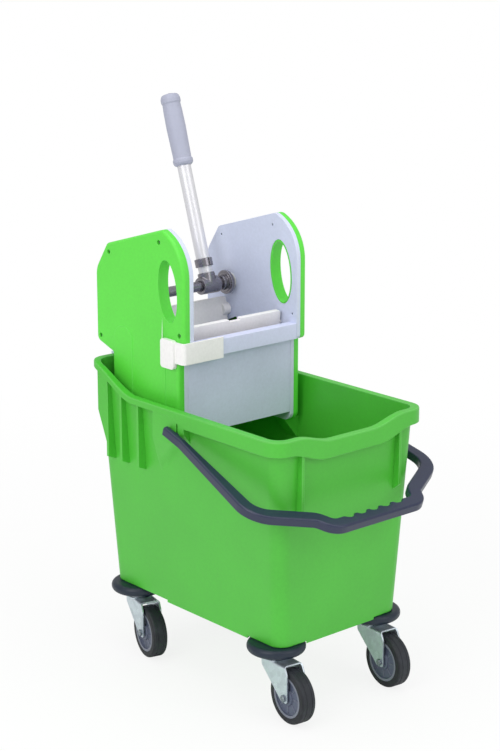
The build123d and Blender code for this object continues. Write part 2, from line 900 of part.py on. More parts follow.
def make_liner(name, side):
    """Grey inner shell of a casing, with bores for the shaft bush and for the jaws."""
    with BuildPart() as liner:
        plane, depth = span(side * casing_split_y, side * casing_inner_y)
        with BuildSketch(plane):
            add(casing_outline(0))
        extrude(amount=depth)
        plane, depth = span(side * casing_split_y, side * liner_plate_y)
        with BuildSketch(plane):
            add(casing_outline(casing_wall))
        extrude(amount=depth, mode=Mode.SUBTRACT)
        with BuildSketch(plane):
            with Locations(*screw_places):
                Circle(screw_boss_r)
        extrude(amount=depth)
        plane, depth = span(side * bush_end_y, side * liner_plate_y)
        with BuildSketch(plane):
            with Locations(shaft_place):
                Circle(bush_r + casing_wall)
            with Locations(jaw_pivot):
                Circle(trunnion_r + casing_wall)
            with Locations(*jaw_pins):
                Circle(jaw_pin_r + casing_wall)
        extrude(amount=depth)
        plane, depth = span(side * casing_split_y, side * casing_inner_y)
        with BuildSketch(plane):
            add(hand_hole(casing_wall + slip))
            with Locations(*screw_places):
                Circle(screw_r + running_fit)
            with Locations(shaft_place):
                Circle(bush_r + running_fit)
            with Locations(jaw_pivot):
                Circle(trunnion_r + running_fit)
            with Locations(*jaw_pins):
                Circle(jaw_pin_r + running_fit)
            with Locations(*liner_slot_places):
                SlotOverall(liner_slot_length, liner_slot_width, rotation=liner_slot_rise)
        extrude(amount=depth, mode=Mode.SUBTRACT)
    save(liner, f"casing_liner_{name}")


def make_screws(name, side):
    """The four screws that hold a cover to its liner."""
    seat_y = casing_face_y - screw_recess
    with BuildPart() as screws:
        plane, depth = span(side * seat_y, side * (seat_y - screw_length))
        with BuildSketch(plane):
            with Locations(*screw_places):
                Circle(screw_r)
        extrude(amount=depth)
        plane, depth = span(side * seat_y, side * (seat_y + screw_head_height))
        with BuildSketch(plane):
            with Locations(*screw_places):
                Circle(screw_head_r)
        extrude(amount=depth)
    save(screws, f"casing_screws_{name}")


def make_bush(name, side):
    """Flanged bush that the cross shaft turns in."""
    with BuildPart() as bush:
        for end_y, r in ((bush_end_y, bush_r), (casing_inner_y, bush_flange_r)):
            plane, depth = span(side * bush_face_y, side * end_y)
            with BuildSketch(plane):
                with Locations(shaft_place):
                    Circle(r)
            extrude(amount=depth)
        plane, depth = span(side * bush_face_y, side * bush_end_y)
        with BuildSketch(plane):
            with Locations(shaft_place):
                Circle(journal_r + running_fit)
        extrude(amount=depth, mode=Mode.SUBTRACT)
    save(bush, f"shaft_bush_{name}")


for name, side in SIDES.items():
    make_cover(name, side)
    make_liner(name, side)
    make_screws(name, side)
    make_bush(name, side)


# Front panel: a rail that joins the casings, stepped back to a lower panel
panel_x = casing_foot_front_x - slip
with BuildPart() as front_panel:
    with BuildSketch(Plane.XZ):
        with BuildLine():
            Polyline(
                (casing_front_x - rail_depth, rail_top_z),
                (casing_front_x, rail_top_z),
                (casing_front_x, rail_low_z),
                (panel_x, rail_low_z),
                (panel_x, panel_foot_z),
                (panel_x - panel_sheet, panel_foot_z),
                (panel_x - panel_sheet, rail_low_z + panel_sheet),
                (casing_front_x - panel_sheet, rail_low_z + panel_sheet),
                (casing_front_x - panel_sheet, rail_top_z - panel_sheet),
                (casing_front_x - rail_depth, rail_top_z - panel_sheet),
                close=True,
            )
        make_face()
    extrude(amount=casing_inner_y, both=True)
save(front_panel, "front_panel")

# Rear panel, with the flange that hangs on the bucket's rear rim
hook_z = rear_rim_z + slip
with BuildPart() as rear_panel:
    with BuildSketch(Plane.XZ):
        with BuildLine():
            Polyline(
                (casing_foot_rear_x, panel_foot_z),
                (casing_foot_rear_x + panel_sheet, panel_foot_z),
                (casing_foot_rear_x + panel_sheet, rear_panel_top_z),
                (casing_foot_rear_x, rear_panel_top_z),
                (casing_foot_rear_x, hook_z + panel_sheet),
                (-lip_half_length, hook_z + panel_sheet),
                (-lip_half_length, hook_z),
                (casing_foot_rear_x, hook_z),
                close=True,
            )
        make_face()
    extrude(amount=casing_inner_y, both=True)
save(rear_panel, "rear_panel")

# Drain grate between the panels' feet
grate_rear_x = casing_foot_rear_x + panel_sheet
grate_front_x = panel_x - panel_sheet
with BuildPart() as grate:
    with BuildSketch(Plane.XY.offset(panel_foot_z)):
        with Locations(((grate_rear_x + grate_front_x) / 2, 0)):
            Rectangle(grate_front_x - grate_rear_x, 2 * casing_inner_y)
            with GridLocations(1, grate_slot_pitch, 1, grate_slots):
                SlotOverall(grate_slot_length, grate_slot_width, mode=Mode.SUBTRACT)
    extrude(amount=grate_thickness)
save(grate, "drain_grate")


def jaw_plate(top_x, top_z, foot_x):
    """Slotted plate of a jaw, which leans from its top to its foot."""
    foot = Vector(foot_x, 0, jaw_foot_z)
    top = Vector(top_x, 0, top_z)
    plane = Plane(origin=(foot + top) * 0.5, x_dir=(0, 1, 0), z_dir=Vector(0, 1, 0).cross(top - foot))
    with BuildPart() as plate:
        with BuildSketch(plane):
            RectangleRounded(2 * jaw_half_width, (top - foot).length, jaw_thickness / 2)
            with GridLocations(jaw_slot_pitch, 1, jaw_slots, 1):
                SlotOverall(jaw_slot_length, jaw_slot_width, rotation=90, mode=Mode.SUBTRACT)
        extrude(amount=jaw_thickness / 2, both=True)
    return plate.part


# Front jaw, fixed between the liners
front_plate = jaw_plate(front_jaw_top_x, jaw_top_z, front_jaw_foot_x)
with BuildPart() as front_jaw:
    add(front_plate)
    with BuildSketch(Plane.YZ.offset(front_jaw_top_x - jaw_thickness)):
        with Locations((jaw_notch_y, jaw_top_z)):
            Rectangle(jaw_notch_width, 2 * jaw_notch_depth)
    extrude(amount=2 * jaw_thickness, mode=Mode.SUBTRACT)
    for side in SIDES.values():
        plane, depth = span(side * (jaw_half_width - jaw_pin_length), side * bush_end_y)
        with BuildSketch(plane):
            with Locations(*jaw_pins):
                Circle(jaw_pin_r)
        extrude(amount=depth)
save(front_jaw, "front_jaw")

# Press jaw, which swings on its trunnions
press_plate = jaw_plate(press_jaw_top_x, press_jaw_top_z, press_jaw_foot_x)
with BuildPart() as press_jaw:
    add(press_plate)
    for side in SIDES.values():
        boss_y = jaw_half_width - trunnion_boss_length
        for end_y, r in ((casing_inner_y - slip, trunnion_boss_r), (gear_face_y, trunnion_r)):
            plane, depth = span(side * boss_y, side * end_y)
            with BuildSketch(plane):
                with Locations(jaw_pivot):
                    Circle(r)
            extrude(amount=depth)
save(press_jaw, "press_jaw")


def gear_tooth(teeth):
    """One involute tooth that points along X from its gear's centre."""
    pressure = math.radians(pressure_angle)
    pitch_r = gear_module * teeth / 2
    base_r = pitch_r * math.cos(pressure)
    foot_r = pitch_r - 1.5 * tooth_root * gear_module
    tip_r = pitch_r + gear_module
    flank = []
    for r in [foot_r] + [base_r + (tip_r - base_r) * i / 4 for i in range(5)]:
        slope = math.acos(min(1.0, base_r / r))
        half = math.pi * tooth_share / teeth + math.tan(pressure) - pressure - math.tan(slope) + slope
        flank.append((r * math.cos(half), r * math.sin(half)))
    with BuildSketch() as tooth:
        with BuildLine():
            Polyline(*flank, *[(x, -y) for x, y in reversed(flank)], close=True)
        make_face()
    return tooth.sketch


def make_gears(name, side):
    """Pinion on the cross shaft and the toothed sector on the jaw's trunnion."""
    plane, depth = span(side * gear_y, side * gear_face_y)
    root = tooth_root * gear_module
    with BuildPart() as pinion:
        with BuildSketch(plane):
            with Locations(shaft_place):
                Circle(pinion_pitch_r - root)
                with PolarLocations(0, pinion_teeth, start_angle=mesh_angle + 180):
                    add(gear_tooth(pinion_teeth))
                Circle(journal_r + running_fit, mode=Mode.SUBTRACT)
        extrude(amount=depth)
    save(pinion, f"pinion_{name}")

    step = 360 / jaw_gear_teeth
    first = mesh_angle + (sector_teeth_behind - sector_teeth + 0.5) * step
    reach = (sector_teeth - 1) * step
    with BuildPart() as sector:
        with BuildSketch(plane):
            with BuildLine():
                rim = CenterArc(jaw_pivot, jaw_gear_pitch_r - root, first - step / 2, reach + step)
                Polyline(rim @ 1, jaw_pivot, rim @ 0)
            make_face()
            with Locations(jaw_pivot):
                with PolarLocations(0, sector_teeth, start_angle=first, angular_range=reach, endpoint=True):
                    add(gear_tooth(jaw_gear_teeth))
                Circle(trunnion_boss_r)
                Circle(trunnion_r + running_fit, mode=Mode.SUBTRACT)
        extrude(amount=depth)
    save(sector, f"jaw_gear_{name}")


for name, side in SIDES.items():
    make_gears(name, side)

# Cross shaft with a thinner journal at each end
with BuildPart() as shaft:
    for half_length, r in ((bush_face_y - slip, shaft_r), (gear_face_y, journal_r)):
        plane, depth = span(-half_length, half_length)
        with BuildSketch(plane):
            with Locations(shaft_place):
                Circle(r)
        extrude(amount=depth)
save(shaft, "cross_shaft")


def spring_point(turns):
    """Middle of the return spring's wire after a number of turns, counted from the bush."""
    angle = 2 * math.pi * turns
    y = spring_start_y + spring_pitch * turns
    return Vector(shaft_x + spring_mean_r * math.cos(angle), y, shaft_z + spring_mean_r * math.sin(angle))


def spring_heading(turns):
    """Direction of the wire after a number of turns."""
    angle = 2 * math.pi * turns
    around = 2 * math.pi * spring_mean_r
    return Vector(-around * math.sin(angle), spring_pitch, around * math.cos(angle)).normalized()


def biarc(start, start_heading, end, end_heading):
    """Two tangent arcs from one point and heading to another."""
    across = end - start
    both = start_heading + end_heading
    bend = 2 * (1 - start_heading.dot(end_heading))
    reach = (math.sqrt(across.dot(both) ** 2 + bend * across.dot(across)) - across.dot(both)) / bend
    middle = (start + end + (start_heading - end_heading) * reach) * 0.5
    first = TangentArc(start, middle, tangent=start_heading)
    TangentArc(middle, end, tangent=first % 1)


# Return spring round the shaft beside the right bush, with short straight ends
spring_start_y = -bush_face_y + slip + spring_wire_r
spring_lead = 2 * spring_wire_r
with BuildPart() as spring:
    with BuildLine() as wire:
        Line(spring_point(0) - spring_heading(0) * spring_lead, spring_point(0))
        for quarter in range(4 * spring_turns):
            start = quarter / 4
            end = (quarter + 1) / 4
            biarc(spring_point(start), spring_heading(start), spring_point(end), spring_heading(end))
        last = spring_point(spring_turns)
        Line(last, last + spring_heading(spring_turns) * spring_lead)
    with BuildSketch(Plane(origin=wire.line @ 0, z_dir=wire.line % 0)):
        Circle(spring_wire_r)
    sweep()
save(spring, "return_spring")

wire_points = [spring_point(i / 48) for i in range(48 * spring_turns + 1)]
turn_gaps = [
    (wire_points[i] - wire_points[j]).length - 2 * spring_wire_r
    for i in range(len(wire_points))
    for j in range(i + 24, len(wire_points))
]
print(f"return spring: least gap between turns {min(turn_gaps):.2f} mm")


def make_flange(name, outer_y):
    """Disc on the cross shaft, with a hub towards the middle."""
    side = SIDES[name]
    inner_y = outer_y - shaft_flange_thickness
    with BuildPart() as flange:
        for end_y, r in ((inner_y, shaft_flange_r), (inner_y - shaft_flange_hub_length, shaft_flange_hub_r)):
            plane, depth = span(side * outer_y, side * end_y)
            with BuildSketch(plane):
                with Locations(shaft_place):
                    Circle(r)
                    Circle(shaft_r + running_fit, mode=Mode.SUBTRACT)
            extrude(amount=depth)
    save(flange, f"shaft_flange_{name}")


spring_end_y = spring_start_y + spring_pitch * spring_turns + spring_wire_r
make_flange("right", -spring_end_y - 2 * slip)
make_flange("left", left_flange_y)

# Corner clip round the right casing's front edge
strap_x = casing_front_x + clip_sheet
strap_y = -casing_face_y - clip_sheet
with BuildPart() as clip:
    with BuildSketch(Plane.XY.offset(clip_low_z)):
        with BuildLine():
            FilletPolyline(
                (clip_rear_x, -casing_face_y),
                (clip_rear_x, strap_y),
                (strap_x, strap_y),
                (strap_x, clip_front_end_y),
                (casing_front_x, clip_front_end_y),
                (casing_front_x, -casing_face_y),
                radius=[0, 0, clip_corner_r, 0, 0, clip_corner_r - clip_sheet],
                close=True,
            )
        make_face()
    extrude(amount=clip_high_z - clip_low_z)
    plane, depth = span(-casing_face_y, strap_y - clip_block_height)
    with BuildSketch(plane):
        with Locations((clip_rear_x + clip_block_length / 2, (clip_block_low_z + clip_block_high_z) / 2)):
            RectangleRounded(clip_block_length, clip_block_high_z - clip_block_low_z, clip_block_corner)
    extrude(amount=depth)
save(clip, "corner_clip")

# Lever: a socket on the shaft, a clamp collar, a steel tube and a grip
lever_plane = Plane(origin=lever_foot, x_dir=(0, 1, 0), z_dir=lever_axis)
lever_side = Plane(origin=lever_foot, x_dir=(0, 1, 0), z_dir=Vector(0, 1, 0).cross(lever_axis))

with BuildPart() as socket:
    plane, depth = span(lever_y - socket_half_length, lever_y + socket_half_length)
    with BuildSketch(plane):
        with Locations(shaft_place):
            Circle(socket_r)
    extrude(amount=depth)
    with BuildSketch(lever_plane):
        Circle(socket_r)
    extrude(amount=socket_top)
    with BuildSketch(plane):
        with Locations(shaft_place):
            Circle(shaft_r + running_fit)
    extrude(amount=depth, mode=Mode.SUBTRACT)
    with BuildSketch(lever_plane.offset(tube_start)):
        Circle(tube_r + running_fit)
    extrude(amount=socket_top, mode=Mode.SUBTRACT)
save(socket, "lever_socket")

with BuildPart() as collar:
    with BuildSketch(lever_plane.offset(collar_start)):
        Circle(collar_r)
        Circle(tube_r + running_fit, mode=Mode.SUBTRACT)
        with Locations((0, -collar_r)):
            Rectangle(collar_slit, 2 * collar_r, mode=Mode.SUBTRACT)
    extrude(amount=collar_end - collar_start)
save(collar, "lever_collar")

with BuildPart() as tube:
    with BuildSketch(lever_plane.offset(tube_start)):
        Circle(tube_r)
        Circle(tube_r - tube_wall, mode=Mode.SUBTRACT)
    extrude(amount=tube_end - tube_start)
save(tube, "lever_tube")

with BuildPart() as grip:
    with BuildSketch(lever_side):
        with BuildLine():
            foot = Line((0, grip_start), (grip_foot_r, grip_start))
            flare = Spline(foot @ 1, (grip_r, grip_start + grip_flare), tangents=((1, 1), (0, 1)))
            body = Line(flare @ 1, (grip_top_r, grip_end - grip_flare))
            crown = Spline(body @ 1, (0, grip_end), tangents=((0, 1), (-1, 0)))
            Line(crown @ 1, foot @ 0)
        make_face()
    revolve(axis=Axis(lever_foot, lever_axis))
    with BuildSketch(lever_plane.offset(grip_start)):
        Circle(tube_r + running_fit)
    extrude(amount=tube_end + slip - grip_start, mode=Mode.SUBTRACT)
save(grip, "lever_grip")
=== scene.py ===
# %% [markdown]
# # A mop bucket with a jaw wringer
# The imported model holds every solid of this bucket, already in place. What it cannot show is what the
# eye checks first: the soft edges of moulded plastic, the bent sheet of the castor forks, the turned
# wheels, and the finishes. This lesson builds those over the solids, piece by piece.
# Blender works in metres, but a maker thinks in millimetres, so sizes are written in millimetres and
# turned into metres by one factor.

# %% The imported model
import json
import math

import bmesh
import bpy
from mathutils import Matrix, Vector


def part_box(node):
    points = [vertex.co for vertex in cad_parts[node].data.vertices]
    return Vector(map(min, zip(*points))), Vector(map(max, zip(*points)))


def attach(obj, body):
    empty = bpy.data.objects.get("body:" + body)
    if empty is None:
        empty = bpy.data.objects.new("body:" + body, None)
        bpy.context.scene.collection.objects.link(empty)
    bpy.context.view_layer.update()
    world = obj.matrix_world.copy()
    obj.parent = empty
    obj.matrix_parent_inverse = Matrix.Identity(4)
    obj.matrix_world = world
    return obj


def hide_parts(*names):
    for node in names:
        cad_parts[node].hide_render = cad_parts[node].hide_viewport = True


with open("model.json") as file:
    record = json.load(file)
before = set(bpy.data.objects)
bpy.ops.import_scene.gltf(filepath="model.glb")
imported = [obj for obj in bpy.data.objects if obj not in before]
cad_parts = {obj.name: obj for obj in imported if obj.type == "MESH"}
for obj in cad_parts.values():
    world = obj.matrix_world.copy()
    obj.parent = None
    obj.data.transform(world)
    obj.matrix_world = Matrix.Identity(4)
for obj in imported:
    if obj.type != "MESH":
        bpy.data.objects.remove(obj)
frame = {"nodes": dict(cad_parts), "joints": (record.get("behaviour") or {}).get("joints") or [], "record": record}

MM = 0.001
SIDES = {"right": -1, "left": 1}
scene = bpy.context.scene
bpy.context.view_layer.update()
joints = {joint["name"]: joint for joint in frame["joints"]}


def linked(name, data):
    """New object in the scene."""
    made = bpy.data.objects.new(name, data)
    scene.collection.objects.link(made)
    return made


# %% [markdown]
# ## The camera
# The photograph was taken from in front of the pouring end's right corner, a little above the rim. The
# place and the lens were fitted to the corners of the bucket. Blender's sensor width belongs to the
# longer side of the picture, which is the height here, so the focal length in pixels is scaled by that.

# %% Camera
camera_place = (1.8414, -1.6204, 1.0745)
camera_turn = 48.76
camera_pitch = 14.84
focal_pixels = 1834.2
picture_height = 751
sensor = 36.0

lens = bpy.data.cameras.new("view")
lens.sensor_width = sensor
lens.lens = focal_pixels * sensor / picture_height
camera = linked("view", lens)
camera.location = camera_place
camera.rotation_euler = (math.radians(90 - camera_pitch), 0, math.radians(camera_turn))
scene.camera = camera
print(f"lens of {lens.lens:.1f} mm")

# %% [markdown]
# ## Writing nodes as sentences
# A finish is a small calculation at every point of a surface. Drawn as nodes it becomes a web that is
# hard to read, so two small classes let it be written as Python. A Wire is a socket that can be added,
# subtracted and multiplied: each sign adds a Math node. A NodeKit makes every other node from its type,
# its settings and what goes into its sockets. Materials and Geometry Nodes trees share it.


# %% Wires and kits
def sign(operation, reflected=False):
    """Method that adds a Math node to the tree of the wire it is called on."""

    def method(self, other):
        first, second = (other, self) if reflected else (self, other)
        return self.kit.node("ShaderNodeMath", {"operation": operation}, {0: first, 1: second})

    return method


class Wire:
    """A node's output that can stand in a Python expression."""

    def __init__(self, kit, socket):
        self.kit = kit
        self.socket = socket

    __add__ = __radd__ = sign("ADD")
    __mul__ = __rmul__ = sign("MULTIPLY")
    __sub__, __rsub__ = sign("SUBTRACT"), sign("SUBTRACT", True)
    __truediv__, __rtruediv__ = sign("DIVIDE"), sign("DIVIDE", True)


class NodeKit:
    """A node tree that is written one node at a time."""

    def __init__(self, tree):
        self.tree = tree

    def pick(self, sockets, key):
        if isinstance(key, int):
            return sockets[key]
        return next(s for s in sockets if s.enabled and key in (None, s.name))

    def join(self, socket, value):
        if isinstance(value, Wire):
            self.tree.links.new(value.socket, socket)
        else:
            socket.default_value = value

    def node(self, kind, settings=None, sockets=None, out=None):
        made = self.tree.nodes.new(kind)
        for key, value in (settings or {}).items():
            if key == "stops":
                for stop, (place, shade) in zip(made.color_ramp.elements, value):
                    stop.position = place
                    stop.color = (shade, shade, shade, 1)
            else:
                setattr(made, key, value)
        for key, value in (sockets or {}).items():
            self.join(self.pick(made.inputs, key), value)
        return Wire(self, self.pick(made.outputs, out))


class Finish(NodeKit):
    """A material: nodes round one Principled shader."""

    def __init__(self, name):
        self.material = bpy.data.materials.new(name)
        self.material.use_nodes = True
        super().__init__(self.material.node_tree)
        self.place = self.node("ShaderNodeTexCoord", out="Object")

    def give(self, sockets):
        shader = self.tree.nodes["Principled BSDF"]
        for key, value in sockets.items():
            self.join(shader.inputs[key], value)
        return self.material

    def noise(self, scale, detail=2.0, stretch=None, turn=(0, 0, 0)):
        place = self.place
        if stretch:
            sockets = {"Vector": place, "Rotation": turn, "Scale": stretch}
            place = self.node("ShaderNodeMapping", {}, sockets)
        sockets = {"Vector": place, "Scale": scale, "Detail": detail}
        return self.node("ShaderNodeTexNoise", {}, sockets, "Fac")

    def ramp(self, value, low, high):
        stops = {"stops": ((low, 0.0), (high, 1.0))}
        return self.node("ShaderNodeValToRGB", stops, {"Fac": value}, "Color")

    def between(self, share, first, second):
        first, second = (c if isinstance(c, Wire) else (*c, 1.0) for c in (first, second))
        return self.node("ShaderNodeMix", {"data_type": "RGBA"}, {"Factor": share, "A": first, "B": second})

    def bump(self, height, strength, depth):
        sockets = {"Strength": strength, "Distance": depth * MM, "Height": height}
        return self.node("ShaderNodeBump", {}, sockets, "Normal")

    def mark(self, name):
        return self.node("ShaderNodeAttribute", {"attribute_name": name}, out="Fac")


def tone(red, green, blue):
    """Linear colour of a paint card's 8-bit numbers."""
    shares = [c / 255 for c in (red, green, blue)]
    return tuple(s / 12.92 if s < 0.04045 else ((s + 0.055) / 1.055) ** 2.4 for s in shares)


print("node kit ready")

# %% [markdown]
# ## Floor, backdrop and light
# The bucket stands in a white studio. The floor is a real surface, so it catches the soft shadow under
# the castors, and part of it glows for the camera so that it fades to white. Light Path tells the rays
# apart: only what the camera sees directly is whitened. The light that falls on the bucket and the room
# that shows in its gloss stay at a plain level.

# %% Floor and backdrop
floor_half = 60.0
floor_glow = 0.84
fade_start, fade_end = 0.35, 1.5
ambient = 0.62


def seen_rays(kit):
    """1 for rays that come straight from the camera, and 0 for the rest."""
    return kit.node("ShaderNodeLightPath", out="Is Camera Ray")


def shader_end(kit, kind, socket, wire):
    end = next(n for n in kit.tree.nodes if n.type == kind)
    kit.tree.links.new(wire.socket, end.inputs[socket])


paint = Finish("pale_floor")
lit = paint.node("ShaderNodeBsdfDiffuse", {}, {"Color": (0.93, 0.93, 0.93, 1)})
glow = paint.node("ShaderNodeEmission", {}, {"Color": (1, 1, 1, 1), "Strength": 1.0})
span = {"From Min": fade_start, "From Max": fade_end, "To Min": floor_glow, "To Max": 1.0}
away = paint.node("ShaderNodeVectorMath", {"operation": "LENGTH"}, {0: paint.place}, "Value")
fade = paint.node("ShaderNodeMapRange", {"interpolation_type": "SMOOTHSTEP"}, {"Value": away, **span})
mixed = paint.node("ShaderNodeMixShader", {}, {0: seen_rays(paint) * fade, 1: lit, 2: glow})
shader_end(paint, "OUTPUT_MATERIAL", "Surface", mixed)

corners = [(x * floor_half, y * floor_half, 0.0) for x, y in ((-1, -1), (1, -1), (1, 1), (-1, 1))]
floor_mesh = bpy.data.meshes.new("studio_floor")
floor_mesh.from_pydata(corners, [], [(0, 1, 2, 3)])
floor_mesh.materials.append(paint.material)
floor = linked("studio_floor", floor_mesh)

scene.world = bpy.data.worlds.new("studio_air")
scene.world.use_nodes = True
air = NodeKit(scene.world.node_tree)
level = ambient + seen_rays(air) * (1 - ambient)
sky = air.node("ShaderNodeBackground", {}, {"Color": (1, 1, 1, 1), "Strength": level})
shader_end(air, "OUTPUT_WORLD", "Surface", sky)
scene.view_settings.view_transform = "Standard"
print("floor and backdrop")

# %% Lamps
aim = Vector((0.0, 0.0, 0.36))
lamps = {
    "left_softbox": ((0.5, -2.3, 1.7), 1.5, 20.0),
    "overhead_softbox": ((0.2, -0.2, 2.7), 2.2, 24.0),
    "end_softbox": ((2.3, 0.4, 1.6), 1.6, 11.0),
}
for name, (place, size, watts) in lamps.items():
    lamp = bpy.data.lights.new(name, "AREA")
    lamp.size = size
    lamp.energy = watts
    box = linked(name, lamp)
    box.location = place
    box.rotation_euler = (aim - box.location).to_track_quat("-Z", "Y").to_euler()
print(f"{len(lamps)} softboxes")

# %% [markdown]
# ## Moulded plastic
# Most of this object is injection-moulded: the green bucket and covers, the grey liners and panel, the
# white jaws, the slate bail. Such plastic is never one flat colour. The melt leaves slow swirls, the
# pigment leaves fine specks, and the mould's skin gives a fine grain that breaks up the gloss. Rounded
# edges are painted paler, partly as wear and partly as a painted highlight. One function makes them all,
# and the rounded edges are marked by an attribute that the mesh code writes.


# %% Moulded finishes
# edge sets how far the marked edges are painted paler: partly wear, partly a painted highlight
def moulded(name, card, roughness, skin_depth=0.10, edge=0.35):
    made = Finish(name)
    base = tone(*card)
    deep = [0.88 * c for c in base]
    pale = [c + 0.10 * (1 - c) for c in base]
    swirl = made.noise(6.0, 3.0)
    speck = made.noise(240.0, 4.0)
    skin = made.noise(1300.0, 2.0)
    # marked rounded edges are mixed towards the paler tone: wear and a painted highlight
    wear_and_painted_highlight = made.mark("edge_wear_and_highlight")
    body = made.between(made.ramp(swirl * 0.7 + speck * 0.3, 0.35, 0.62), deep, base)
    return made.give({
        "Base Color": made.between(wear_and_painted_highlight * edge, body, pale),
        "Roughness": roughness + (speck - 0.5) * 0.16 + (swirl - 0.5) * 0.12 - wear_and_painted_highlight * 0.06,
        "Normal": made.bump(skin * 0.75 + speck * 0.25, 0.35, skin_depth),
    })


plastics = {
    "bucket_green": ((80, 194, 58), 0.40),
    "cover_green": ((96, 226, 69), 0.38),
    "liner_grey": ((217, 224, 246), 0.46),
    "panel_grey": ((220, 225, 252), 0.46),
    "jaw_white": ((252, 250, 250), 0.42, 0.10, 0.2),
    "bail_grey": ((43, 50, 77), 0.33, 0.14),
    "bumper_grey": ((22, 36, 54), 0.42, 0.16),
    # core_grey's last number paints the wheel core's marked rim fully pale: a painted highlight
    "core_grey": ((88, 95, 116), 0.40, 0.10, 1.3),
    "grip_grey": ((174, 177, 196), 0.48, 0.14),
    "bush_white": ((222, 222, 218), 0.40, 0.10, 0.2),
    "gear_white": ((226, 224, 214), 0.36, 0.10, 0.2),
}
finishes = {name: moulded(name, *recipe) for name, recipe in plastics.items()}
print(f"{len(finishes)} moulded finishes")

# %% [markdown]
# ## Rubber and metals
# The tyres are grey-black rubber with a dusty tread. The forks are pressed steel with a zinc coat, whose
# crystals show as faint patches. Bolts and screws are brighter, the shaft has a dark coat, and the lever is
# an aluminium tube with fine drawing lines along it. The lines follow the lever, so a Mapping node turns
# the pattern by the lever's own lean.

# %% Rubber and metal finishes
lever_lean = math.radians(17.65)


def rubber(name, card):
    made = Finish(name)
    base = tone(*card)
    dusty = tone(82, 87, 97)
    cloud = made.noise(55.0, 4.0)
    grit = made.noise(900.0, 3.0)
    dust = made.ramp(cloud, 0.48, 0.78) * 0.22 + made.mark("tread") * 0.12
    return made.give({
        "Base Color": made.between(dust, base, dusty),
        "Roughness": 0.52 + (grit - 0.5) * 0.2 + dust * 0.3,
        "Normal": made.bump(grit * 0.8 + cloud * 0.2, 0.4, 0.2),
    })


def plated(name, card, roughness, patch):
    made = Finish(name)
    base = tone(*card)
    crystal = made.node("ShaderNodeTexVoronoi", {}, {"Vector": made.place, "Scale": 150.0}, "Color")
    shade = made.node("ShaderNodeSeparateColor", {}, {"Color": crystal}, "Red")
    fine = made.noise(700.0, 3.0)
    cloud = made.noise(30.0, 3.0)
    dull = [0.62 * c for c in base]
    return made.give({
        "Base Color": made.between(shade * patch + cloud * 0.35, base, dull),
        "Metallic": 0.85,
        "Roughness": roughness + (shade - 0.5) * 0.14 + (fine - 0.5) * 0.12,
        "Normal": made.bump(fine, 0.25, 0.06),
    })


def drawn(name, card, roughness):
    made = Finish(name)
    base = tone(*card)
    lines = made.noise(160.0, 3.0, (12.0, 12.0, 0.12), (0, lever_lean, 0))
    cloud = made.noise(18.0, 3.0)
    dull = [0.72 * c for c in base]
    return made.give({
        "Base Color": made.between(lines * 0.45 + cloud * 0.2, base, dull),
        "Metallic": 0.4,
        "Roughness": roughness + (lines - 0.5) * 0.25,
        "Normal": made.bump(lines, 0.2, 0.05),
    })


metals = {
    "zinc": ((218, 229, 238), 0.34, 0.35),
    "bolt_steel": ((150, 158, 166), 0.28, 0.25),
    "spring_steel": ((120, 124, 130), 0.30, 0.2),
    "shaft_black": ((146, 143, 150), 0.24, 0.12),
}
finishes["tyre_black"] = rubber("tyre_black", (17, 21, 29))
finishes.update({name: plated(name, *recipe) for name, recipe in metals.items()})
finishes["tube_silver"] = drawn("tube_silver", (240, 239, 243), 0.38)
print(f"{len(finishes)} finishes in all")

# %% [markdown]
# ## From a mesh to a piece
# Every piece ends the same way. Its mesh takes one finish, is shaded smooth up to a limit angle, and gets
# a Weighted Normal modifier, which lets the large faces rule the shading so that flats stay flat between
# rounded edges. Then the piece rides on its body and stands for the CAD nodes that it replaces.


# %% Showing a piece
def show(name, mesh, slot, body, *nodes, sharp_above=40):
    mesh.name = name
    mesh.materials.clear()
    mesh.materials.append(finishes[slot])
    mesh.shade_smooth()
    mesh.set_sharp_from_angle(angle=math.radians(sharp_above))
    piece = linked(name, mesh)
    flats = piece.modifiers.new("flat faces rule", "WEIGHTED_NORMAL")
    flats.keep_sharp = True
    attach(piece, body)
    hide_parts(*nodes)
    print(f"{name}: {len(mesh.polygons)} faces on {body}")


def opened(mesh):
    """Bmesh of a plain mesh, to be edited."""
    shell = bmesh.new()
    shell.from_mesh(mesh)
    return shell


def as_mesh(shell):
    """Plain mesh of a bmesh, which is used up."""
    mesh = bpy.data.meshes.new("mesh")
    shell.to_mesh(mesh)
    shell.free()
    return mesh


# %% [markdown]
# ## Softened copies of the solids
# The covers, liners, panels, jaws and shaft already have the right shape as solids, but a solid's edges
# are knife-sharp and catch no light. A copy of the mesh is merged, its flat faces are joined, and every
# sharp edge is rounded by a small bevel. The new bevel faces are marked for the finishes, which paint
# them paler: partly wear, partly a painted highlight.


# %% Soft copies
def mark_faces(shell, faces, name="edge_wear_and_highlight"):
    layer = shell.faces.layers.float.get(name) or shell.faces.layers.float.new(name)
    for face in faces:
        face[layer] = 1.0


def round_edges(shell, rounding, sharp_above=35.0):
    limit = math.radians(sharp_above)
    shell.faces.layers.float.new("edge_wear_and_highlight")
    edges = [e for e in shell.edges if len(e.link_faces) == 2 and e.calc_face_angle(0) > limit]
    rounded = bmesh.ops.bevel(
        shell, geom=edges, offset=rounding * MM, offset_type="OFFSET", segments=2, profile=0.5,
        affect="EDGES", clamp_overlap=False, miter_outer="ARC",
    )
    # the bevel faces get the mark that the finishes paint paler: wear and a painted highlight
    mark_faces(shell, rounded["faces"])
    bmesh.ops.triangulate(shell, faces=[f for f in shell.faces if len(f.verts) > 4])


def softened(node, rounding):
    shell = opened(frame["nodes"][node].data)
    bmesh.ops.remove_doubles(shell, verts=shell.verts, dist=2e-6)
    bmesh.ops.dissolve_limit(shell, angle_limit=math.radians(0.5), verts=shell.verts, edges=shell.edges)
    round_edges(shell, rounding)
    mesh = as_mesh(shell)
    for name in ("custom_normal", "sharp_edge", "sharp_face"):
        if name in mesh.attributes:
            mesh.attributes.remove(mesh.attributes[name])
    return mesh


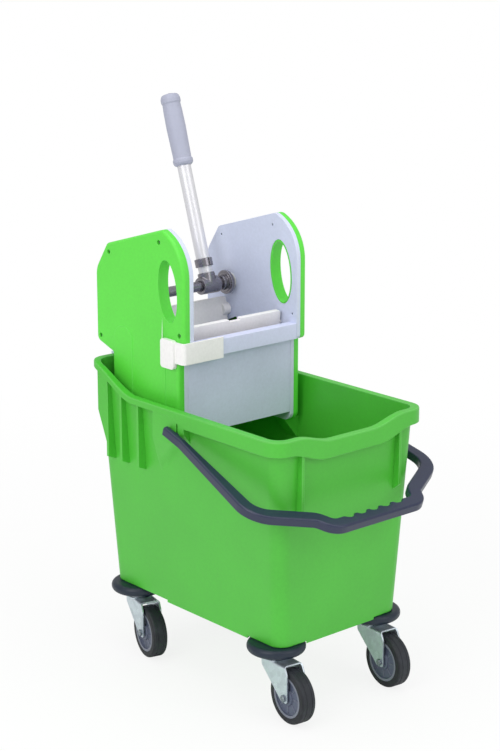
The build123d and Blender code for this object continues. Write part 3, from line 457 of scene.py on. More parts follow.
soft_copies = {
    "wringer": {
        **{f"casing_cover_{side}": ("cover_green", 0.5) for side in SIDES},
        **{f"casing_liner_{side}": ("liner_grey", 0.6) for side in SIDES},
        "front_panel": ("panel_grey", 0.9),
        "rear_panel": ("panel_grey", 0.9),
        "drain_grate": ("panel_grey", 0.7),
        "front_jaw": ("jaw_white", 0.9),
        "corner_clip": ("jaw_white", 0.9),
    },
    "press_jaw": {"press_jaw": ("jaw_white", 0.9)},
    "lever": {
        "cross_shaft": ("shaft_black", 0.6),
        "lever_socket": ("shaft_black", 1.0),
        "lever_collar": ("shaft_black", 0.9),
    },
}
for body, copies in soft_copies.items():
    for node, (slot, rounding) in copies.items():
        show(f"{node}_soft", softened(node, rounding), slot, body, node)

# %% [markdown]
# ## Outlines, turned pieces and repeats
# Three tools make the pieces whose solids are too plain. An outline is a list of corners, each with its own
# rounding. The lathe is a Geometry Nodes tree: it sweeps an outline round a tiny circle, as wheels, bumpers
# and grips are turned. The repeater is a second tree, which sets copies of a mesh round an axis, as ribs
# stand round a hub. Both end in Realize Instances and Set Material, and the result is taken off as a plain
# mesh, so no modifier is left on the piece.


# %% Outlines
def arc(centre, radius, start, end, steps):
    """Points round part of a circle, both ends included."""
    turns = [start + (end - start) * k / steps for k in range(steps + 1)]
    return [(centre[0] + radius * math.cos(t), centre[1] + radius * math.sin(t)) for t in turns]


def filleted(corners, closed=False, steps=6):
    """Outline through corners (x, y, radius), each drawn as an arc."""
    outline = []
    for i, (x, y, radius) in enumerate(corners):
        here = Vector((x, y))
        if radius == 0 or (not closed and i in (0, len(corners) - 1)):
            outline.append(here)
            continue
        back = Vector(corners[i - 1][:2]) - here
        ahead = Vector(corners[(i + 1) % len(corners)][:2]) - here
        half = back.angle(ahead) / 2
        reach = min(radius / math.tan(half), 0.62 * back.length, 0.62 * ahead.length)
        radius = reach * math.tan(half)
        middle = here + (back.normalized() + ahead.normalized()).normalized() * (radius / math.sin(half))
        first = here + back.normalized() * reach - middle
        turn = first.angle_signed(here + ahead.normalized() * reach - middle)
        for k in range(steps + 1):
            outline.append(middle + Matrix.Rotation(-turn * k / steps, 2) @ first)
    return outline


# %% Geometry Nodes trees with named inputs
class Recipe(NodeKit):
    """A Geometry Nodes tree whose sizes are named inputs."""

    def __init__(self, name, inputs):
        tree = bpy.data.node_groups.new(name, "GeometryNodeTree")
        kinds = {"Geometry": "NodeSocketGeometry", **inputs, "Finish": "NodeSocketMaterial"}
        for key, kind in kinds.items():
            tree.interface.new_socket(key, in_out="INPUT", socket_type=kind)
        tree.interface.new_socket("Geometry", in_out="OUTPUT", socket_type="NodeSocketGeometry")
        super().__init__(tree)
        self.inputs = tree.nodes.new("NodeGroupInput")

    def input(self, name):
        return Wire(self, self.inputs.outputs[name])

    def end(self, geometry):
        whole = self.node("GeometryNodeRealizeInstances", {}, {"Geometry": geometry})
        sockets = {"Geometry": whole, "Material": self.input("Finish")}
        painted = self.node("GeometryNodeSetMaterial", {}, sockets)
        end = self.tree.nodes.new("NodeGroupOutput")
        self.tree.links.new(painted.socket, end.inputs["Geometry"])

    def run(self, start, sizes):
        """Plain mesh that the tree makes from a mesh or curve."""
        maker = linked("maker", start)
        step = maker.modifiers.new("recipe", "NODES")
        step.node_group = self.tree
        for item in self.tree.interface.items_tree:
            if item.in_out == "INPUT" and item.name in sizes:
                step[item.identifier] = sizes[item.name]
        seen_by = bpy.context.evaluated_depsgraph_get()
        mesh = bpy.data.meshes.new_from_object(maker.evaluated_get(seen_by))
        bpy.data.objects.remove(maker)
        return mesh


spine_r = 1.0
lathe = Recipe("lathe", {"Segments": "NodeSocketInt"})
spine = lathe.node(
    "GeometryNodeCurvePrimitiveCircle", {}, {"Resolution": lathe.input("Segments"), "Radius": spine_r * MM}
)
upright = lathe.node("GeometryNodeSetCurveNormal", {"mode": "Z_UP"}, {"Curve": spine})
swept = lathe.node(
    "GeometryNodeCurveToMesh", {}, {"Curve": upright, "Profile Curve": lathe.input("Geometry")}
)
lathe.end(lathe.node("GeometryNodeMergeByDistance", {}, {"Geometry": swept, "Distance": 1e-6}))

repeater = Recipe("repeat_round", {"Count": "NodeSocketInt"})
points = repeater.node("GeometryNodePoints", {}, {"Count": repeater.input("Count")})
angle = repeater.node("GeometryNodeInputIndex") * (2 * math.pi) / repeater.input("Count")
turn = repeater.node("ShaderNodeCombineXYZ", {}, {"Z": angle})
copies = {"Points": points, "Instance": repeater.input("Geometry"), "Rotation": turn}
repeater.end(repeater.node("GeometryNodeInstanceOnPoints", {}, copies))
print("lathe and repeater ready")


# %% Tools that use the trees
def outward(mesh):
    """Closed mesh, merged and with its faces turned outwards."""
    shell = opened(mesh)
    bmesh.ops.remove_doubles(shell, verts=shell.verts, dist=1e-7)
    bmesh.ops.recalc_face_normals(shell, faces=shell.faces)
    return as_mesh(shell)


def turned(corners, slot, segments=72, steps=6):
    """Piece turned about Z from corners (radius, height, rounding), open if they start on the axis."""
    closed = corners[0][0] > 0
    outline = filleted(corners, closed, steps)
    curve = bpy.data.curves.new("outline", "CURVE")
    curve.dimensions = "3D"
    line = curve.splines.new("POLY")
    line.points.add(len(outline) - 1)
    for point, (r, h) in zip(line.points, outline):
        point.co = ((r - spine_r) * MM, -h * MM, 0, 1)
    line.use_cyclic_u = closed
    return outward(lathe.run(curve, {"Segments": segments, "Finish": finishes[slot]}))


def skinned(shell, loops):
    """Join loops into a closed skin that faces outwards, and return its bands."""
    shell.faces.new(loops[0])
    shell.faces.new(loops[-1])
    bands = []
    for low, high in zip(loops, loops[1:]):
        corners = range(len(low))
        bands.append([shell.faces.new((low[k - 1], low[k], high[k], high[k - 1])) for k in corners])
    bmesh.ops.recalc_face_normals(shell, faces=shell.faces)
    return bands


def prism(outline, right, up, start, depth, rounding):
    """Slab with an outline in the plane of two axes, pushed along the third, with rounded edges."""
    right, up = Vector(right), Vector(up)
    along = right.cross(up)
    shell = bmesh.new()
    ends = []
    for step in (start, start + depth):
        ends.append([shell.verts.new((right * a + up * b + along * step) * MM) for a, b in outline])
    skinned(shell, ends)
    round_edges(shell, rounding)
    return as_mesh(shell)


def joined(meshes):
    """One mesh of several, which are used up."""
    shell = bmesh.new()
    for mesh in meshes:
        shell.from_mesh(mesh)
        bpy.data.meshes.remove(mesh)
    return as_mesh(shell)


def placed(mesh, place):
    mesh.transform(place)
    return mesh


def laid(side, *place):
    """Matrix that lays a turned piece along Y at a place, its heights growing towards a side."""
    return Matrix.Translation(Vector(place) * MM) @ Matrix.Rotation(-side * math.pi / 2, 4, "X")


X, Y, Z = (1, 0, 0), (0, 1, 0), (0, 0, 1)

# %% [markdown]
# ## The bucket
# The bucket is one thin-walled moulding, so it is built the way its wall runs: a ring of points goes up the
# outside, under the lip, down the inside of the lip's band, round its foot, up its face, over the rim and
# down the inner wall to the floor. Each ring is a rounded rectangle, and because its points depend evenly
# on its sizes, every ring lines up with the next and the wall is all clean four-sided faces. The rim's
# height is a rule of its own: high beside the wringer, a swoop, and a dip for pouring.

# %% The wall's rule
# The first three are each a half length, a half width and a corner radius.
base = (180.0, 111.0, 20.0)
mouth = (194.0, 131.0, 20.0)
lip = (201.0, 138.0, 27.0)
floor_z, rim_z, rear_z = 104.0, 397.5, 434.0
wall, floor_sheet, lip_sheet = 3.0, 4.0, 2.6
swoop_rear, swoop_front = -196.0, -98.0
pour_start, pour_dip, dip_end, dip_flat = 172.0, 12.0, 98.0, 36.0
foot_dip, foot_dip_end, foot_dip_flat = 15.0, 112.0, 50.0
band_shallow, band_deep, band_rear, band_full = 9.5, 21.0, -16.0, 12.0
end_steps, side_steps, corner_steps = 48, 80, 14


def clamped(t):
    return min(max(t, 0.0), 1.0)


def smooth(t):
    t = clamped(t)
    return t * t * (3 - 2 * t)


def rim_top(x, y):
    top = rim_z + (rear_z - rim_z) * smooth((swoop_front - x) / (swoop_front - swoop_rear))
    if x > pour_start:
        top -= pour_dip * smooth((dip_end - abs(y)) / (dip_end - dip_flat))
    return top


def band_foot(x, y):
    if x > pour_start:
        share = smooth((foot_dip_end - abs(y)) / (foot_dip_end - foot_dip_flat))
        return rim_z - band_deep - foot_dip * share
    share = clamped((x - band_rear) / (band_full - band_rear))
    return rim_top(x, y) - band_shallow - (band_deep - band_shallow) * share


def ring(half_length, half_width, corner):
    """Points round a rounded rectangle, anticlockwise from the pouring end's right."""
    a, b = half_length - corner, half_width - corner
    runs = (
        ((half_length, -b), (half_length, b), end_steps, (a, b), 0),
        ((a, half_width), (-a, half_width), side_steps, (-a, b), 90),
        ((-half_length, b), (-half_length, -b), end_steps, (-a, -b), 180),
        ((-a, -half_width), (a, -half_width), side_steps, (a, -b), 270),
    )
    points = []
    for start, end, steps, centre, angle in runs:
        points += [Vector(start).lerp(Vector(end), i / steps) for i in range(steps)]
        turn = math.radians(angle)
        bend = arc(centre, corner, turn, turn + math.pi / 2, corner_steps)
        points += [Vector(point) for point in bend[:-1]]
    return points


def wall_share(z):
    return (z - floor_z) / (rear_z - floor_z)


def wall_row(inset, height):
    """Ring on the tapered wall, drawn in by an inset, at a height that may follow the rim."""
    low = ring(*[size - inset for size in base])
    high = ring(*[size - inset for size in mouth])
    row = []
    for foot, head in zip(low, high):
        z = height(*foot.lerp(head, wall_share(rim_z))) if callable(height) else height
        row.append((*foot.lerp(head, wall_share(z)), z))
    return row


def lip_row(inset, height):
    return [(x, y, height(x, y)) for x, y in ring(*[size - inset for size in lip])]


def below(line, drop):
    return lambda x, y: line(x, y) - drop


# %% The wall itself
floor_top = floor_z + floor_sheet
# Each step of these two bends is an inset and a rise.
base_bend = ((16.0, 0.0), (2.0, 0.0), (0.6, 0.6), (0.0, 2.0))
floor_bend = ((0.0, 5.0), (0.7, 2.4), (2.4, 0.7), (5.0, 0.0), (11.0, 0.0))
wall_heights = (150.0, 210.0, 270.0, 330.0)
under_bend, foot_bend, rim_bend, inner_bend = 0.9, 0.7, 2.0, 1.4
rows = [wall_row(inset, floor_z + rise) for inset, rise in base_bend]
rows += [wall_row(0.0, z) for z in wall_heights]
rows += [
    wall_row(0.0, below(rim_top, lip_sheet + 1.2)),
    wall_row(-0.4, below(rim_top, lip_sheet + 0.3)),
    lip_row(lip_sheet + under_bend, below(rim_top, lip_sheet)),
    lip_row(lip_sheet, below(rim_top, lip_sheet + under_bend)),
    lip_row(lip_sheet, below(band_foot, -foot_bend)),
    lip_row(lip_sheet - 0.5, band_foot),
]
foot_row = len(rows)
rows += [
    lip_row(foot_bend, band_foot),
    lip_row(0.0, below(band_foot, -foot_bend)),
    lip_row(0.0, below(rim_top, rim_bend)),
    lip_row(0.3 * rim_bend, below(rim_top, 0.3 * rim_bend)),
    lip_row(rim_bend, rim_top),
]
top_row = len(rows)
rows += [
    wall_row(wall - inner_bend, rim_top),
    wall_row(wall - 0.4, below(rim_top, 0.4)),
    wall_row(wall, below(rim_top, inner_bend)),
]
rows += [wall_row(wall, z) for z in reversed(wall_heights)]
rows += [wall_row(wall + inset, floor_top + rise) for inset, rise in floor_bend]
shell = bmesh.new()
shell.faces.layers.float.new("edge_wear_and_highlight")
bands = skinned(shell, [[shell.verts.new(Vector(point) * MM) for point in row] for row in rows])
# the rim's and the lip band's rounded edges are marked, so the finish paints them paler: wear and a painted
# highlight
for j in (foot_row - 1, foot_row, top_row - 3, top_row - 2, top_row, top_row + 1):
    mark_faces(shell, bands[j])
bucket_parts = [as_mesh(shell)]
print(f"wall of {len(rows)} rings of {len(rows[0])} points")

# %% [markdown]
# ### What is moulded onto the wall
# Fins and a cut-away pillar stiffen the lip beside the wringer, a slotted pad on each side takes the bail's
# pin and fades into the wall below it, two ribs stand under the pouring lip, small gussets inside carry the
# wringer's feet, and four bosses in the floor hold the castor stems. What stands on a side wall is drawn as
# a slab in side view, and then its points are moved so that its back follows the leaning wall and its foot
# slants out of it. The slab is cut across where the slant ends, so that the bend falls on an edge, and the
# pad is cut a few more times, so that its lower front edge sinks softly into the wall.

# %% Fins, pads, ribs, gussets and bosses
foot_sheet, sink, fade_cuts = 0.8, 0.4, 6


def wall_x(z):
    return base[0] + (mouth[0] - base[0]) * wall_share(z)


def wall_y(z):
    return base[1] + (mouth[1] - base[1]) * wall_share(z)


def cut_across(shell, place, normal):
    every = shell.verts[:] + shell.edges[:] + shell.faces[:]
    bmesh.ops.bisect_plane(shell, geom=every, plane_co=place * MM, plane_no=normal)


def on_side_wall(outline, side, outer_y, foot_z, full_z, rounding, sunk=None):
    """Slab drawn in side view whose back follows the wall and whose foot slants out of it.

    sunk is an edge from one (x, z) to another and a width over which the slab sinks into the wall there.
    """
    back_y = wall_y(foot_z) - wall / 2
    foot_y = wall_y(foot_z) + foot_sheet
    low, high = sorted((side * back_y, side * outer_y))
    shell = opened(prism(outline, X, Z, -high, high - low, rounding))
    cut_across(shell, Vector((0, 0, full_z)), Z)
    if sunk:
        (x_from, z_from), (x_to, z_to), width = sunk
        inward = Vector((z_from - z_to, 0, x_to - x_from)).normalized()
        edge_point = Vector((x_from, 0, z_from))
        for k in range(fade_cuts):
            cut_across(shell, edge_point + inward * width * (k + 1) / fade_cuts, inward)
    for corner in shell.verts:
        depth = (abs(corner.co.y) / MM - back_y) / (outer_y - back_y)
        z = corner.co.z / MM
        front_y = foot_y + (outer_y - foot_y) * clamped((z - foot_z) / (full_z - foot_z))
        behind_y = wall_y(z) - wall / 2
        if sunk:
            sunk_y = wall_y(z) - sink
            share = smooth((corner.co / MM - edge_point).dot(inward) / width)
            front_y = sunk_y + (front_y - sunk_y) * share
        corner.co.y = side * (behind_y + (front_y - behind_y) * depth) * MM
    return as_mesh(shell)


def under_lip(x_low, x_high):
    """Points along the underside of the lip, from front to rear."""
    steps = [x_high + (x_low - x_high) * k / 4 for k in range(5)]
    return [(x, rim_top(x, 0) - lip_sheet / 2) for x in steps]


fin_foot, fin_full, fin_sheet = 294.0, 299.0, 4.5
pillar_rear, pillar_front, pillar_cut, pillar_neck = -178.0, -155.0, 364.0, 320.0
fin_places = (-126.0, -88.0)
overlap, rib_rounding = 0.6, 0.7
band_inside = lip[1] - lip_sheet + overlap
end_inside = lip[0] - lip_sheet + overlap
pin_x, _, pin_z = [c / MM for c in joints["bail_lift"]["pos_m"]]
pin_r, slack, slit = 5.0, 0.1, 3.0
pad_front, pad_rear, pad_top = pin_x + 14.0, pin_x - 52.0, rim_z - band_shallow + 0.5
pad_foot, pad_full, pad_slant, pad_fade = pin_z - 68.0, pin_z - 13.0, 64.0, 17.0
rib_y, rib_foot, rib_full = 89.0, 288.0, 296.0
gusset_top, gusset_drop, gusset_width = 334.7, 34.0, 22.0
gussets = (-61.0, -161.5)
casing_inner = 94.0
pillar_back = pillar_front - fin_sheet
pillar = under_lip(pillar_rear, pillar_front) + [(pillar_rear, pillar_cut)]
pillar += [(pillar_back, pillar_neck), (pillar_back, fin_foot), (pillar_front, fin_foot)]
fins = [pillar]
for x in fin_places:
    low, high = x - fin_sheet / 2, x + fin_sheet / 2
    fins.append(under_lip(low, high) + [(low, fin_foot), (high, fin_foot)])
keyhole = [(pin_x - slit / 2, pad_top), (pad_rear, pad_top), (pad_rear, pad_foot)]
keyhole += [(pad_front - pad_slant, pad_foot), (pad_front, pad_full), (pad_front, pad_top)]
keyhole.append((pin_x + slit / 2, pad_top))
gap = math.asin(slit / 2 / (pin_r + slack))
keyhole += arc((pin_x, pin_z), pin_r + slack, math.pi / 2 - gap, gap - 3 * math.pi / 2, 24)
pad_edge = ((pad_front - pad_slant, pad_foot), (pad_front, pad_full), pad_fade)
pad_face = lip[1] - slack
top = rim_z - pour_dip - lip_sheet / 2
lip_rib = [(wall_x(top) - wall / 2, top), (wall_x(rib_foot) - wall / 2, rib_foot)]
lip_rib += [(wall_x(rib_foot) + foot_sheet, rib_foot), (end_inside, rib_full), (end_inside, top)]
low = gusset_top - gusset_drop
gusset = [(casing_inner, gusset_top), (wall_y(gusset_top) - wall / 2, gusset_top)]
gusset.append((wall_y(low) - wall / 2, low))
for side in SIDES.values():
    for fin in fins:
        bucket_parts.append(on_side_wall(fin, side, band_inside, fin_foot, fin_full, rib_rounding))
    bucket_parts.append(on_side_wall(keyhole, side, pad_face, pad_foot, pad_full, 0.5, sunk=pad_edge))
    start = -side * rib_y - fin_sheet / 2
    bucket_parts.append(prism(lip_rib, X, Z, start, fin_sheet, rib_rounding))
    for x in gussets:
        section = [(side * y, z) for y, z in gusset]
        bucket_parts.append(prism(section, Y, Z, x, gusset_width, rounding=0.8))

boss_r, skirt_r, boss_low, boss_top = 10.5, 14.5, floor_z + 1, 143.0
boss = [(0, boss_low, 0), (skirt_r, boss_low, 0), (skirt_r, floor_top - 0.5, 0), (boss_r, floor_top + 2, 2)]
boss += [(boss_r - 0.6, boss_top, 2.5), (0, boss_top, 0)]
castors = sorted(name.removeprefix("swivel_turn_") for name in joints if name.startswith("swivel_turn_"))
feet = {}
for castor in castors:
    x, y, _ = joints[f"swivel_turn_{castor}"]["pos_m"]
    feet[castor] = Matrix.Translation((x, y, 0))
    bucket_parts.append(placed(turned(boss, "bucket_green", 40), feet[castor]))

# %% Floor pan
pan_drop, pan_sunk, pan_rear, bumper_r, margin = 3.0, 2.5, -58.0, 40.0, 0.4
king_x, king_y = [abs(c) / MM for c in joints["swivel_turn_front_left"]["pos_m"][:2]]
clear_r = bumper_r + margin
pan_x, pan_y = base[0] - margin, base[1] - margin
start = math.asin((pan_y - king_y) / clear_r)
end = math.acos((pan_x - king_x) / clear_r)
bite = arc((king_x, king_y), clear_r, math.pi - start, 2 * math.pi - end, 16)
pan = [(pan_rear, -pan_y), (pan_rear, pan_y)] + bite + [(x, -y) for x, y in reversed(bite)]
bucket_parts.append(prism(pan, X, Y, floor_z - pan_drop, pan_drop + pan_sunk, rib_rounding))
show("bucket_moulding", joined(bucket_parts), "bucket_green", "bucket", "bucket")

# %% [markdown]
# ## The bail
# The bail is a channel, open below, that runs along one arm, round the front and back along the other. Its
# two edges are outlines with the same corners, so each point on the outer edge has a partner on the inner
# one, and the channel's section is stretched between them. Dents for the fingers only move the inner edge.

# %% Bail edges
droop = math.radians(17.8)
arm_y, arm_width, bar_width = 143.5, 9.0, 20.0
tail, straight = -18.0, 18.0
shoulder, neck, grip_corner = Vector((193.0, 163.5)), Vector((234.0, 88.5)), Vector((256.5, 76.0))
arm_bend, shoulder_bend, neck_bend, grip_bend = 60.0, 37.0, 23.0, 19.5
dent_r, dent_depth, dent_pitch, dents = 11.0, 5.0, 22.0, 5
reach = grip_corner.x
grip_steps = 96


def mitre(before, here, after, distance):
    """Corner of a line that runs at a distance to the left of two edges."""
    first, second = (here - before).normalized(), (after - here).normalized()
    left = Vector((-first.y, first.x))
    middle = left + Vector((-second.y, second.x))
    return here + middle * (distance / middle.dot(left))


def bail_edge(edge):
    arm, bar = edge * arm_width / 2, edge * bar_width / 2
    arm_start, front = Vector((straight, arm_y)), Vector((reach, 0))
    half = [
        (tail, arm_y + arm, 0),
        (straight, arm_y + arm, arm_bend),
        (*mitre(arm_start, shoulder, neck, bar), shoulder_bend + bar),
        (*mitre(shoulder, neck, grip_corner, bar), neck_bend - bar),
        (*mitre(neck, grip_corner, front, bar), grip_bend + bar),
    ]
    line = filleted([(s, -y, r) for s, y, r in half] + half[::-1], steps=10)
    middle = len(line) // 2
    grip = [line[middle - 1].lerp(line[middle], k / grip_steps) for k in range(1, grip_steps)]
    return line[:middle] + grip + line[middle:]


def dented(point):
    """Inner edge at the grip, pushed back where a finger lies."""
    s, y = point
    if abs(y) > dents * dent_pitch / 2:
        return point
    off = y - dent_pitch * round(y / dent_pitch)
    face = reach - bar_width / 2 - dent_r + dent_depth + math.sqrt(max(dent_r**2 - off**2, 0.0))
    return Vector((max(s, face), y))


outer = bail_edge(1)
inner = [dented(point) for point in bail_edge(-1)]
print(f"{len(outer)} stations along the bail")

# %% Bail channel
depth, sheet, draft = 12.0, 3.0, 0.4
crown_r, foot_r, root_r = 2.8, 0.5, 0.8
along = Vector((math.cos(droop), 0, -math.sin(droop)))
above = Vector((math.sin(droop), 0, math.cos(droop)))
pivot = Vector(joints["bail_lift"]["pos_m"]) / MM


def channel(width):
    """Section of the channel: across from its outer edge, and up from its middle."""
    top, foot = depth / 2, -depth / 2
    corners = [
        (0, foot, foot_r),
        (0, top, crown_r),
        (width, top, crown_r),
        (width, foot, foot_r),
        (width - sheet + draft, foot, foot_r),
        (width - sheet, top - sheet, root_r),
        (sheet, top - sheet, root_r),
        (sheet - draft, foot, foot_r),
    ]
    return filleted(corners, closed=True, steps=4)


shell = bmesh.new()
loops = []
for o, i in zip(outer, inner):
    across = (i - o).normalized()
    loop = []
    for a, h in channel((i - o).length):
        s, y = o + across * a
        loop.append(shell.verts.new((pivot + along * s + Vector((0, y, 0)) + above * h) * MM))
    loops.append(loop)
skinned(shell, loops)
bail_parts = [as_mesh(shell)]
pin_end, pin_round = 131.2, pin_r - slack
bail_pin = [(0, pin_end, 0), (pin_round, pin_end, 0.8), (pin_round, arm_y, 0), (0, arm_y, 0)]
for side in SIDES.values():
    bail_parts.append(placed(turned(bail_pin, "bail_grey", 32), laid(side, *pivot)))
show("bail_channel", joined(bail_parts), "bail_grey", "bail", "bail_handle")

# %% [markdown]
# ## Castors
# Each castor is a stem with a swivel plate, a fork that is one bent sheet of steel, an axle bolt, and a
# turned wheel with a rubber tyre. All four are the same, so they are drawn once in the castor's own axes,
# trail, axle and up, and each is set in place by a matrix that is read from the joints. The wheel's ribs
# repeat round the hub, so they come from the repeater. A pressed fork shows its bends, so its sheet is laid
# along a path over the wheel, as wide at each height as its leg. Turned outlines are lists of corners, each
# a radius, a height and a rounding.

# %% Where the castors stand
trail, wheel_r = 38.0, 37.5
castor_places = {}
for castor in castors:
    axle = Vector(joints[f"wheel_spin_{castor}"]["axis"])
    turn = Matrix((axle.cross(Vector(Z)), axle, Z)).transposed().to_4x4()
    castor_places[castor] = feet[castor] @ turn
wheel_middle = laid(1, trail, 0, wheel_r)
print("castors:", ", ".join(castors))

# %% Bumpers and stems
bore, low, top, bend = 5.6, 90.1, 103.9, 6.4
bumper = [(bore, low, 0), (bumper_r, low, bend), (bumper_r, top, bend), (bore, top, 0)]
plate_r, plate_low, plate_top, plate_bend = 20.0, 83.0, 89.95, 0.9
stem_r, stem_top, pintle_r, button_r, button_top, button_low = 5.5, 137.8, 5.0, 7.5, 79.7, 78.2
stem = [(0, stem_top, 0), (stem_r, stem_top, 0.8), (stem_r, plate_top, 0), (plate_r, plate_top, plate_bend)]
stem += [(plate_r, plate_low, plate_bend), (pintle_r, plate_low, 0), (pintle_r, button_top, 0)]
stem += [(button_r, button_top, 0.4), (button_r, button_low, 0.6), (0, button_low, 0)]
for castor, place in castor_places.items():
    ring_mesh = placed(turned(bumper, "bumper_grey", steps=8), place)
    show(f"bumper_ring_{castor}", ring_mesh, "bumper_grey", "bucket", f"bumper_{castor}")
    stem_mesh = placed(turned(stem, "zinc", 48), place)
    show(f"swivel_stem_{castor}", stem_mesh, "zinc", "bucket", f"castor_stem_{castor}")


# %% Tyres and wheel cores
def mirrored(half):
    """Outline of (radius, height, rounding) that is the same below the middle as above it."""
    return half + [(r, -h, bend) for r, h, bend in reversed(half)]


def marked_beyond(mesh, radius, name):
    """Mesh whose faces are marked where they lie further from the axis than a radius."""
    shell = opened(mesh)
    shell.faces.layers.float.new(name)
    far = [f for f in shell.faces if f.calc_center_median().to_2d().length > radius * MM]
    mark_faces(shell, far, name)
    return as_mesh(shell)


tread_from, rim_highlight_from = 36.4, 25.0
tyre_bore, tyre_half, tyre_bend = 28.4, 11.0, 5.3
groove = [(wheel_r, 3.7, 0), (wheel_r - 0.5, 4.0, 0), (wheel_r - 0.5, 4.6, 0), (wheel_r, 4.9, 0)]
tyre = mirrored(groove + [(wheel_r, tyre_half, tyre_bend), (tyre_bore, tyre_half, 1.0)])
core = [(3.1, 11.0, 0.5), (11.0, 11.0, 1.2), (11.8, 8.2, 1.2)]
core = mirrored(core + [(24.2, 7.6, 1.2), (25.2, 10.8, 0.8), (28.6, 10.8, 0.6)])
rib_outline = [(10.4, -9.0), (25.6, -8.3), (25.6, 8.3), (10.4, 9.0)]
rib_sheet, rib_count = 2.2, 8
rib = prism(rib_outline, X, Z, -rib_sheet / 2, rib_sheet, rounding=0.5)
ribs = repeater.run(rib, {"Count": rib_count, "Finish": finishes["core_grey"]})
for castor, place in castor_places.items():
    body = f"wheel_{castor}"
    rubber_ring = turned(tyre, "tyre_black", 96, 5)
    rubber_ring = placed(marked_beyond(rubber_ring, tread_from, "tread"), place @ wheel_middle)
    show(f"tyre_ring_{castor}", rubber_ring, "tyre_black", body, f"tyre_{castor}")
    # the core's outer rim ring is marked and painted pale: a painted highlight ring
    disc = marked_beyond(turned(core, "core_grey", steps=4), rim_highlight_from, "edge_wear_and_highlight")
    wheel = placed(joined([disc, ribs.copy()]), place @ wheel_middle)
    show(f"ribbed_core_{castor}", wheel, "core_grey", body, f"wheel_core_{castor}")

# %% Forks
leg_y, sheet, bend_r, crown_z = 15.1, 2.5, 4.5, 82.6
heel, toe, instep, knee_z, foot_z, knee_bend, toe_bend = -13.0, 44.5, 31.5, 69.6, 31.0, 6.5, 3.25
leg = [(heel, crown_z, 0), (heel, knee_z, knee_bend), (instep, foot_z, toe_bend)]
leg += [(toe, foot_z, toe_bend), (toe, knee_z, knee_bend), (trail, crown_z, 0)]
leg_outline = filleted(leg, True, 6)


def leg_width(z):
    """Where the leg's outline begins and ends at a height."""
    cuts = []
    for (x0, z0), (x1, z1) in zip(leg_outline, leg_outline[1:] + leg_outline[:1]):
        if min(z0, z1) <= z <= max(z0, z1) and z0 != z1:
            cuts.append(x0 + (x1 - x0) * (z - z0) / (z1 - z0))
    return min(cuts), max(cuts)


def fork_path():
    """Half of the way over the wheel, from a foot to the crown's middle, with the sheet's direction out."""
    bend_y, bend_z = leg_y - bend_r, crown_z - bend_r
    heights = sorted({round(z, 2) for x, z in leg_outline if foot_z + 0.1 < z < bend_z})
    path = [(leg_y, z, 0.0) for z in (foot_z + 0.05, *heights)]
    for k in range(7):
        turn = math.pi / 2 * k / 6
        path.append((bend_y + bend_r * math.cos(turn), bend_z + bend_r * math.sin(turn), turn))
    return path


def fork_mesh():
    path = fork_path()
    path += [(-y, z, math.pi - turn) for y, z, turn in reversed(path)]
    shell = bmesh.new()
    rows = []
    for y, z, turn in path:
        low, high = leg_width(min(z, crown_z - 0.01))
        inner = (y - sheet * math.cos(turn), z - sheet * math.sin(turn))
        row = [(low, y, z), (high, y, z), (high, *inner), (low, *inner)]
        rows.append([shell.verts.new(Vector(p) * MM) for p in row])
    skinned(shell, rows)
    round_edges(shell, 0.5, sharp_above=50.0)
    return as_mesh(shell)


low, top = 80.2, crown_z - 0.05
disc = [(0, low, 0), (plate_r, low, plate_bend), (plate_r, top, plate_bend), (0, top, 0)]
bolt_head, bolt_r, head_depth, bolt_bend = 5.0, 3.0, 3.0, 1.2
bolt_half = leg_y + head_depth + 0.5
bolt = mirrored([(0, bolt_half, 0), (bolt_r, bolt_half, bolt_bend)])
hexagon = arc((trail, wheel_r), bolt_head, 0, math.radians(300), 5)
head_starts = (leg_y, -leg_y - head_depth)
for castor, place in castor_places.items():
    body = f"swivel_{castor}"
    plate = turned(disc, "zinc", 64)
    fork = joined([fork_mesh(), plate])
    show(f"bent_fork_{castor}", placed(fork, place), "zinc", body, f"fork_{castor}", sharp_above=30)
    bolt_parts = [prism(hexagon, X, Z, start, head_depth, rounding=0.6) for start in head_starts]
    bolt_parts.append(placed(turned(bolt, "bolt_steel", 32), wheel_middle))
    axle_bolt = placed(joined(bolt_parts), place)
    show(f"axle_bolt_{castor}", axle_bolt, "bolt_steel", body, f"axle_{castor}")

# %% [markdown]
# ## Lever, flanges and spring
# The grip is a soft sleeve with a collar at each end and a slight belly, the flanges are stepped discs on
# the cross shaft, and the return spring is a coil of wire. Grip and flanges are turned pieces. The spring
# follows a path, so its wire is swept along a spiral in a Geometry Nodes tree. The grip's heights are
# measured along the lever from the shaft's middle, and the flange's from its outer face.

# %% Grip and flanges
shaft_x, _, shaft_z = [c / MM for c in joints["lever_press"]["pos_m"]]
lever_y = 52.0
lean = Matrix.Rotation(-lever_lean, 4, "Y")
lever_place = Matrix.Translation(Vector((shaft_x, lever_y, shaft_z)) * MM) @ lean
grip = [(0, 176.4, 0), (11.4, 176.4, 1.0), (13.4, 178.2, 1.5), (14.7, 181.0, 1.5), (14.7, 185.0, 1.2)]
grip += [(13.3, 187.4, 1.2), (13.6, 205.0, 30.0), (14.2, 232.0, 40.0), (13.8, 255.0, 30.0)]
grip += [(13.2, 267.0, 1.2), (14.4, 269.4, 1.2), (14.4, 274.5, 3.0), (12.4, 280.5, 5.0), (0, 283.0, 0)]
sleeve = placed(turned(grip, "grip_grey"), lever_place)
show("grip_sleeve", sleeve, "grip_grey", "lever", "lever_grip")
flange = [(0, 0, 0), (17.5, 0, 0.8), (17.5, 5.0, 0.8), (14.4, 5.0, 0.5), (14.4, 6.4, 0.6)]
flange += [(11.0, 6.4, 0.6), (11.0, 13.0, 1.0), (0, 13.0, 0)]
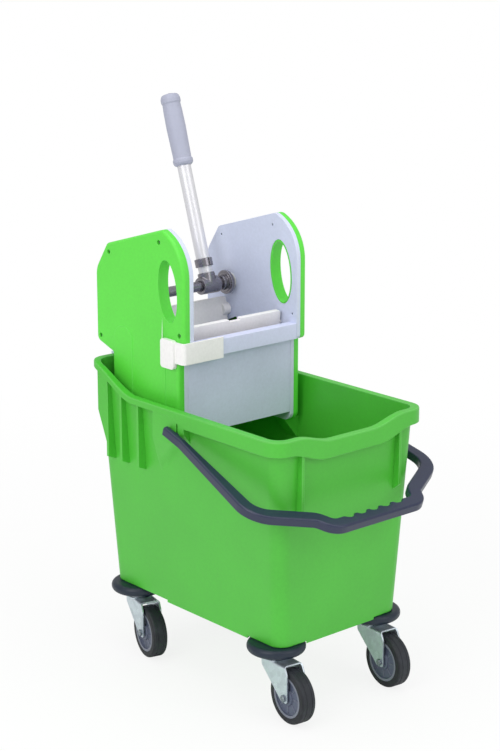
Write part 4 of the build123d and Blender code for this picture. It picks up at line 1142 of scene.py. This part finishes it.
for name, side in SIDES.items():
    low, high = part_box(f"shaft_flange_{name}")
    outer_y = side * max(abs(low.y), abs(high.y)) / MM
    place = laid(-side, shaft_x, outer_y, shaft_z)
    disc_mesh = placed(turned(flange, "shaft_black", 64), place)
    show(f"stepped_flange_{name}", disc_mesh, "shaft_black", "lever", f"shaft_flange_{name}")

# %% Return spring
coil = Recipe("coil", {key: "NodeSocketFloat" for key in ("Turns", "Radius", "Height", "Wire")})
sizes = {"Rotations": coil.input("Turns"), "Height": coil.input("Height"), "Resolution": 40}
sizes.update({key: coil.input("Radius") for key in ("Start Radius", "End Radius")})
wire_path = coil.node("GeometryNodeCurveSpiral", {}, sizes)
sizes = {"Resolution": 12, "Radius": coil.input("Wire")}
wire_round = coil.node("GeometryNodeCurvePrimitiveCircle", {}, sizes)
wire_sweep = {"Curve": wire_path, "Profile Curve": wire_round, "Fill Caps": True}
coil.end(coil.node("GeometryNodeCurveToMesh", {}, wire_sweep))
turns, pitch, coil_r, wire_r = 4.0, 3.4, 11.6, 1.2
sizes = {"Turns": turns, "Radius": coil_r * MM, "Height": turns * pitch * MM, "Wire": wire_r * MM}
sizes["Finish"] = finishes["spring_steel"]
spring = outward(coil.run(bpy.data.meshes.new("coil_start"), sizes))
low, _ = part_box("return_spring")
spring = placed(spring, laid(1, shaft_x, low.y / MM + wire_r, shaft_z))
show("coil_spring", spring, "spring_steel", "wringer", "return_spring")

# %% [markdown]
# ## Casing screws
# Four small screws with a dimple in the head sit in each cover. One screw is turned, and a Geometry Nodes
# tree sets it at every place.

# %% Screws
scatter = Recipe("set_at_points", {"Piece": "NodeSocketObject"})
piece = scatter.node("GeometryNodeObjectInfo", {}, {"Object": scatter.input("Piece")}, "Geometry")
spots = {"Points": scatter.input("Geometry"), "Instance": piece}
scatter.end(scatter.node("GeometryNodeInstanceOnPoints", {}, spots))
screw_places = ((-178.0, 587.0), (-66.0, 616.0), (-200.0, 464.0), (-24.0, 494.0))
seat, head_r, head_height, thread_r, thread = 107.0, 3.0, 2.5, 1.6, 12.0
head_edge, head_slope, dimple = head_height - 0.9, head_height - 0.2, head_height - 1.1
screw = [(0, -thread, 0), (thread_r, -thread, 0.5), (thread_r, 0, 0), (head_r, 0, 0.2)]
screw += [(head_r, head_edge, 0.5), (2.2, head_slope, 0.5), (1.2, head_height, 0)]
screw += [(0.9, head_edge, 0), (0, dimple, 0)]
for name, side in SIDES.items():
    screw_mesh = placed(turned(screw, "bolt_steel", 24, 3), laid(side, 0, 0, 0))
    one = linked("one_screw", screw_mesh)
    spot_mesh = bpy.data.meshes.new("screw_spots")
    spot_mesh.from_pydata([Vector((x, side * seat, z)) * MM for x, z in screw_places], [], [])
    group = scatter.run(spot_mesh, {"Piece": one, "Finish": finishes["bolt_steel"]})
    bpy.data.objects.remove(one)
    show(f"cover_screws_{name}", group, "bolt_steel", "wringer", f"casing_screws_{name}")

# %% [markdown]
# ## The rest of the solids
# What is left keeps its CAD mesh and takes its finish directly.

# %% Finishes on the solids that stay
slots = {part["node"]: part["material_slot"] for part in frame["record"]["subparts"]}
kept = [name for name, node in frame["nodes"].items() if not node.hide_render]
for name in kept:
    for place in frame["nodes"][name].material_slots:
        place.material = finishes[slots[name]]
print(f"{len(kept)} solids keep their own mesh")
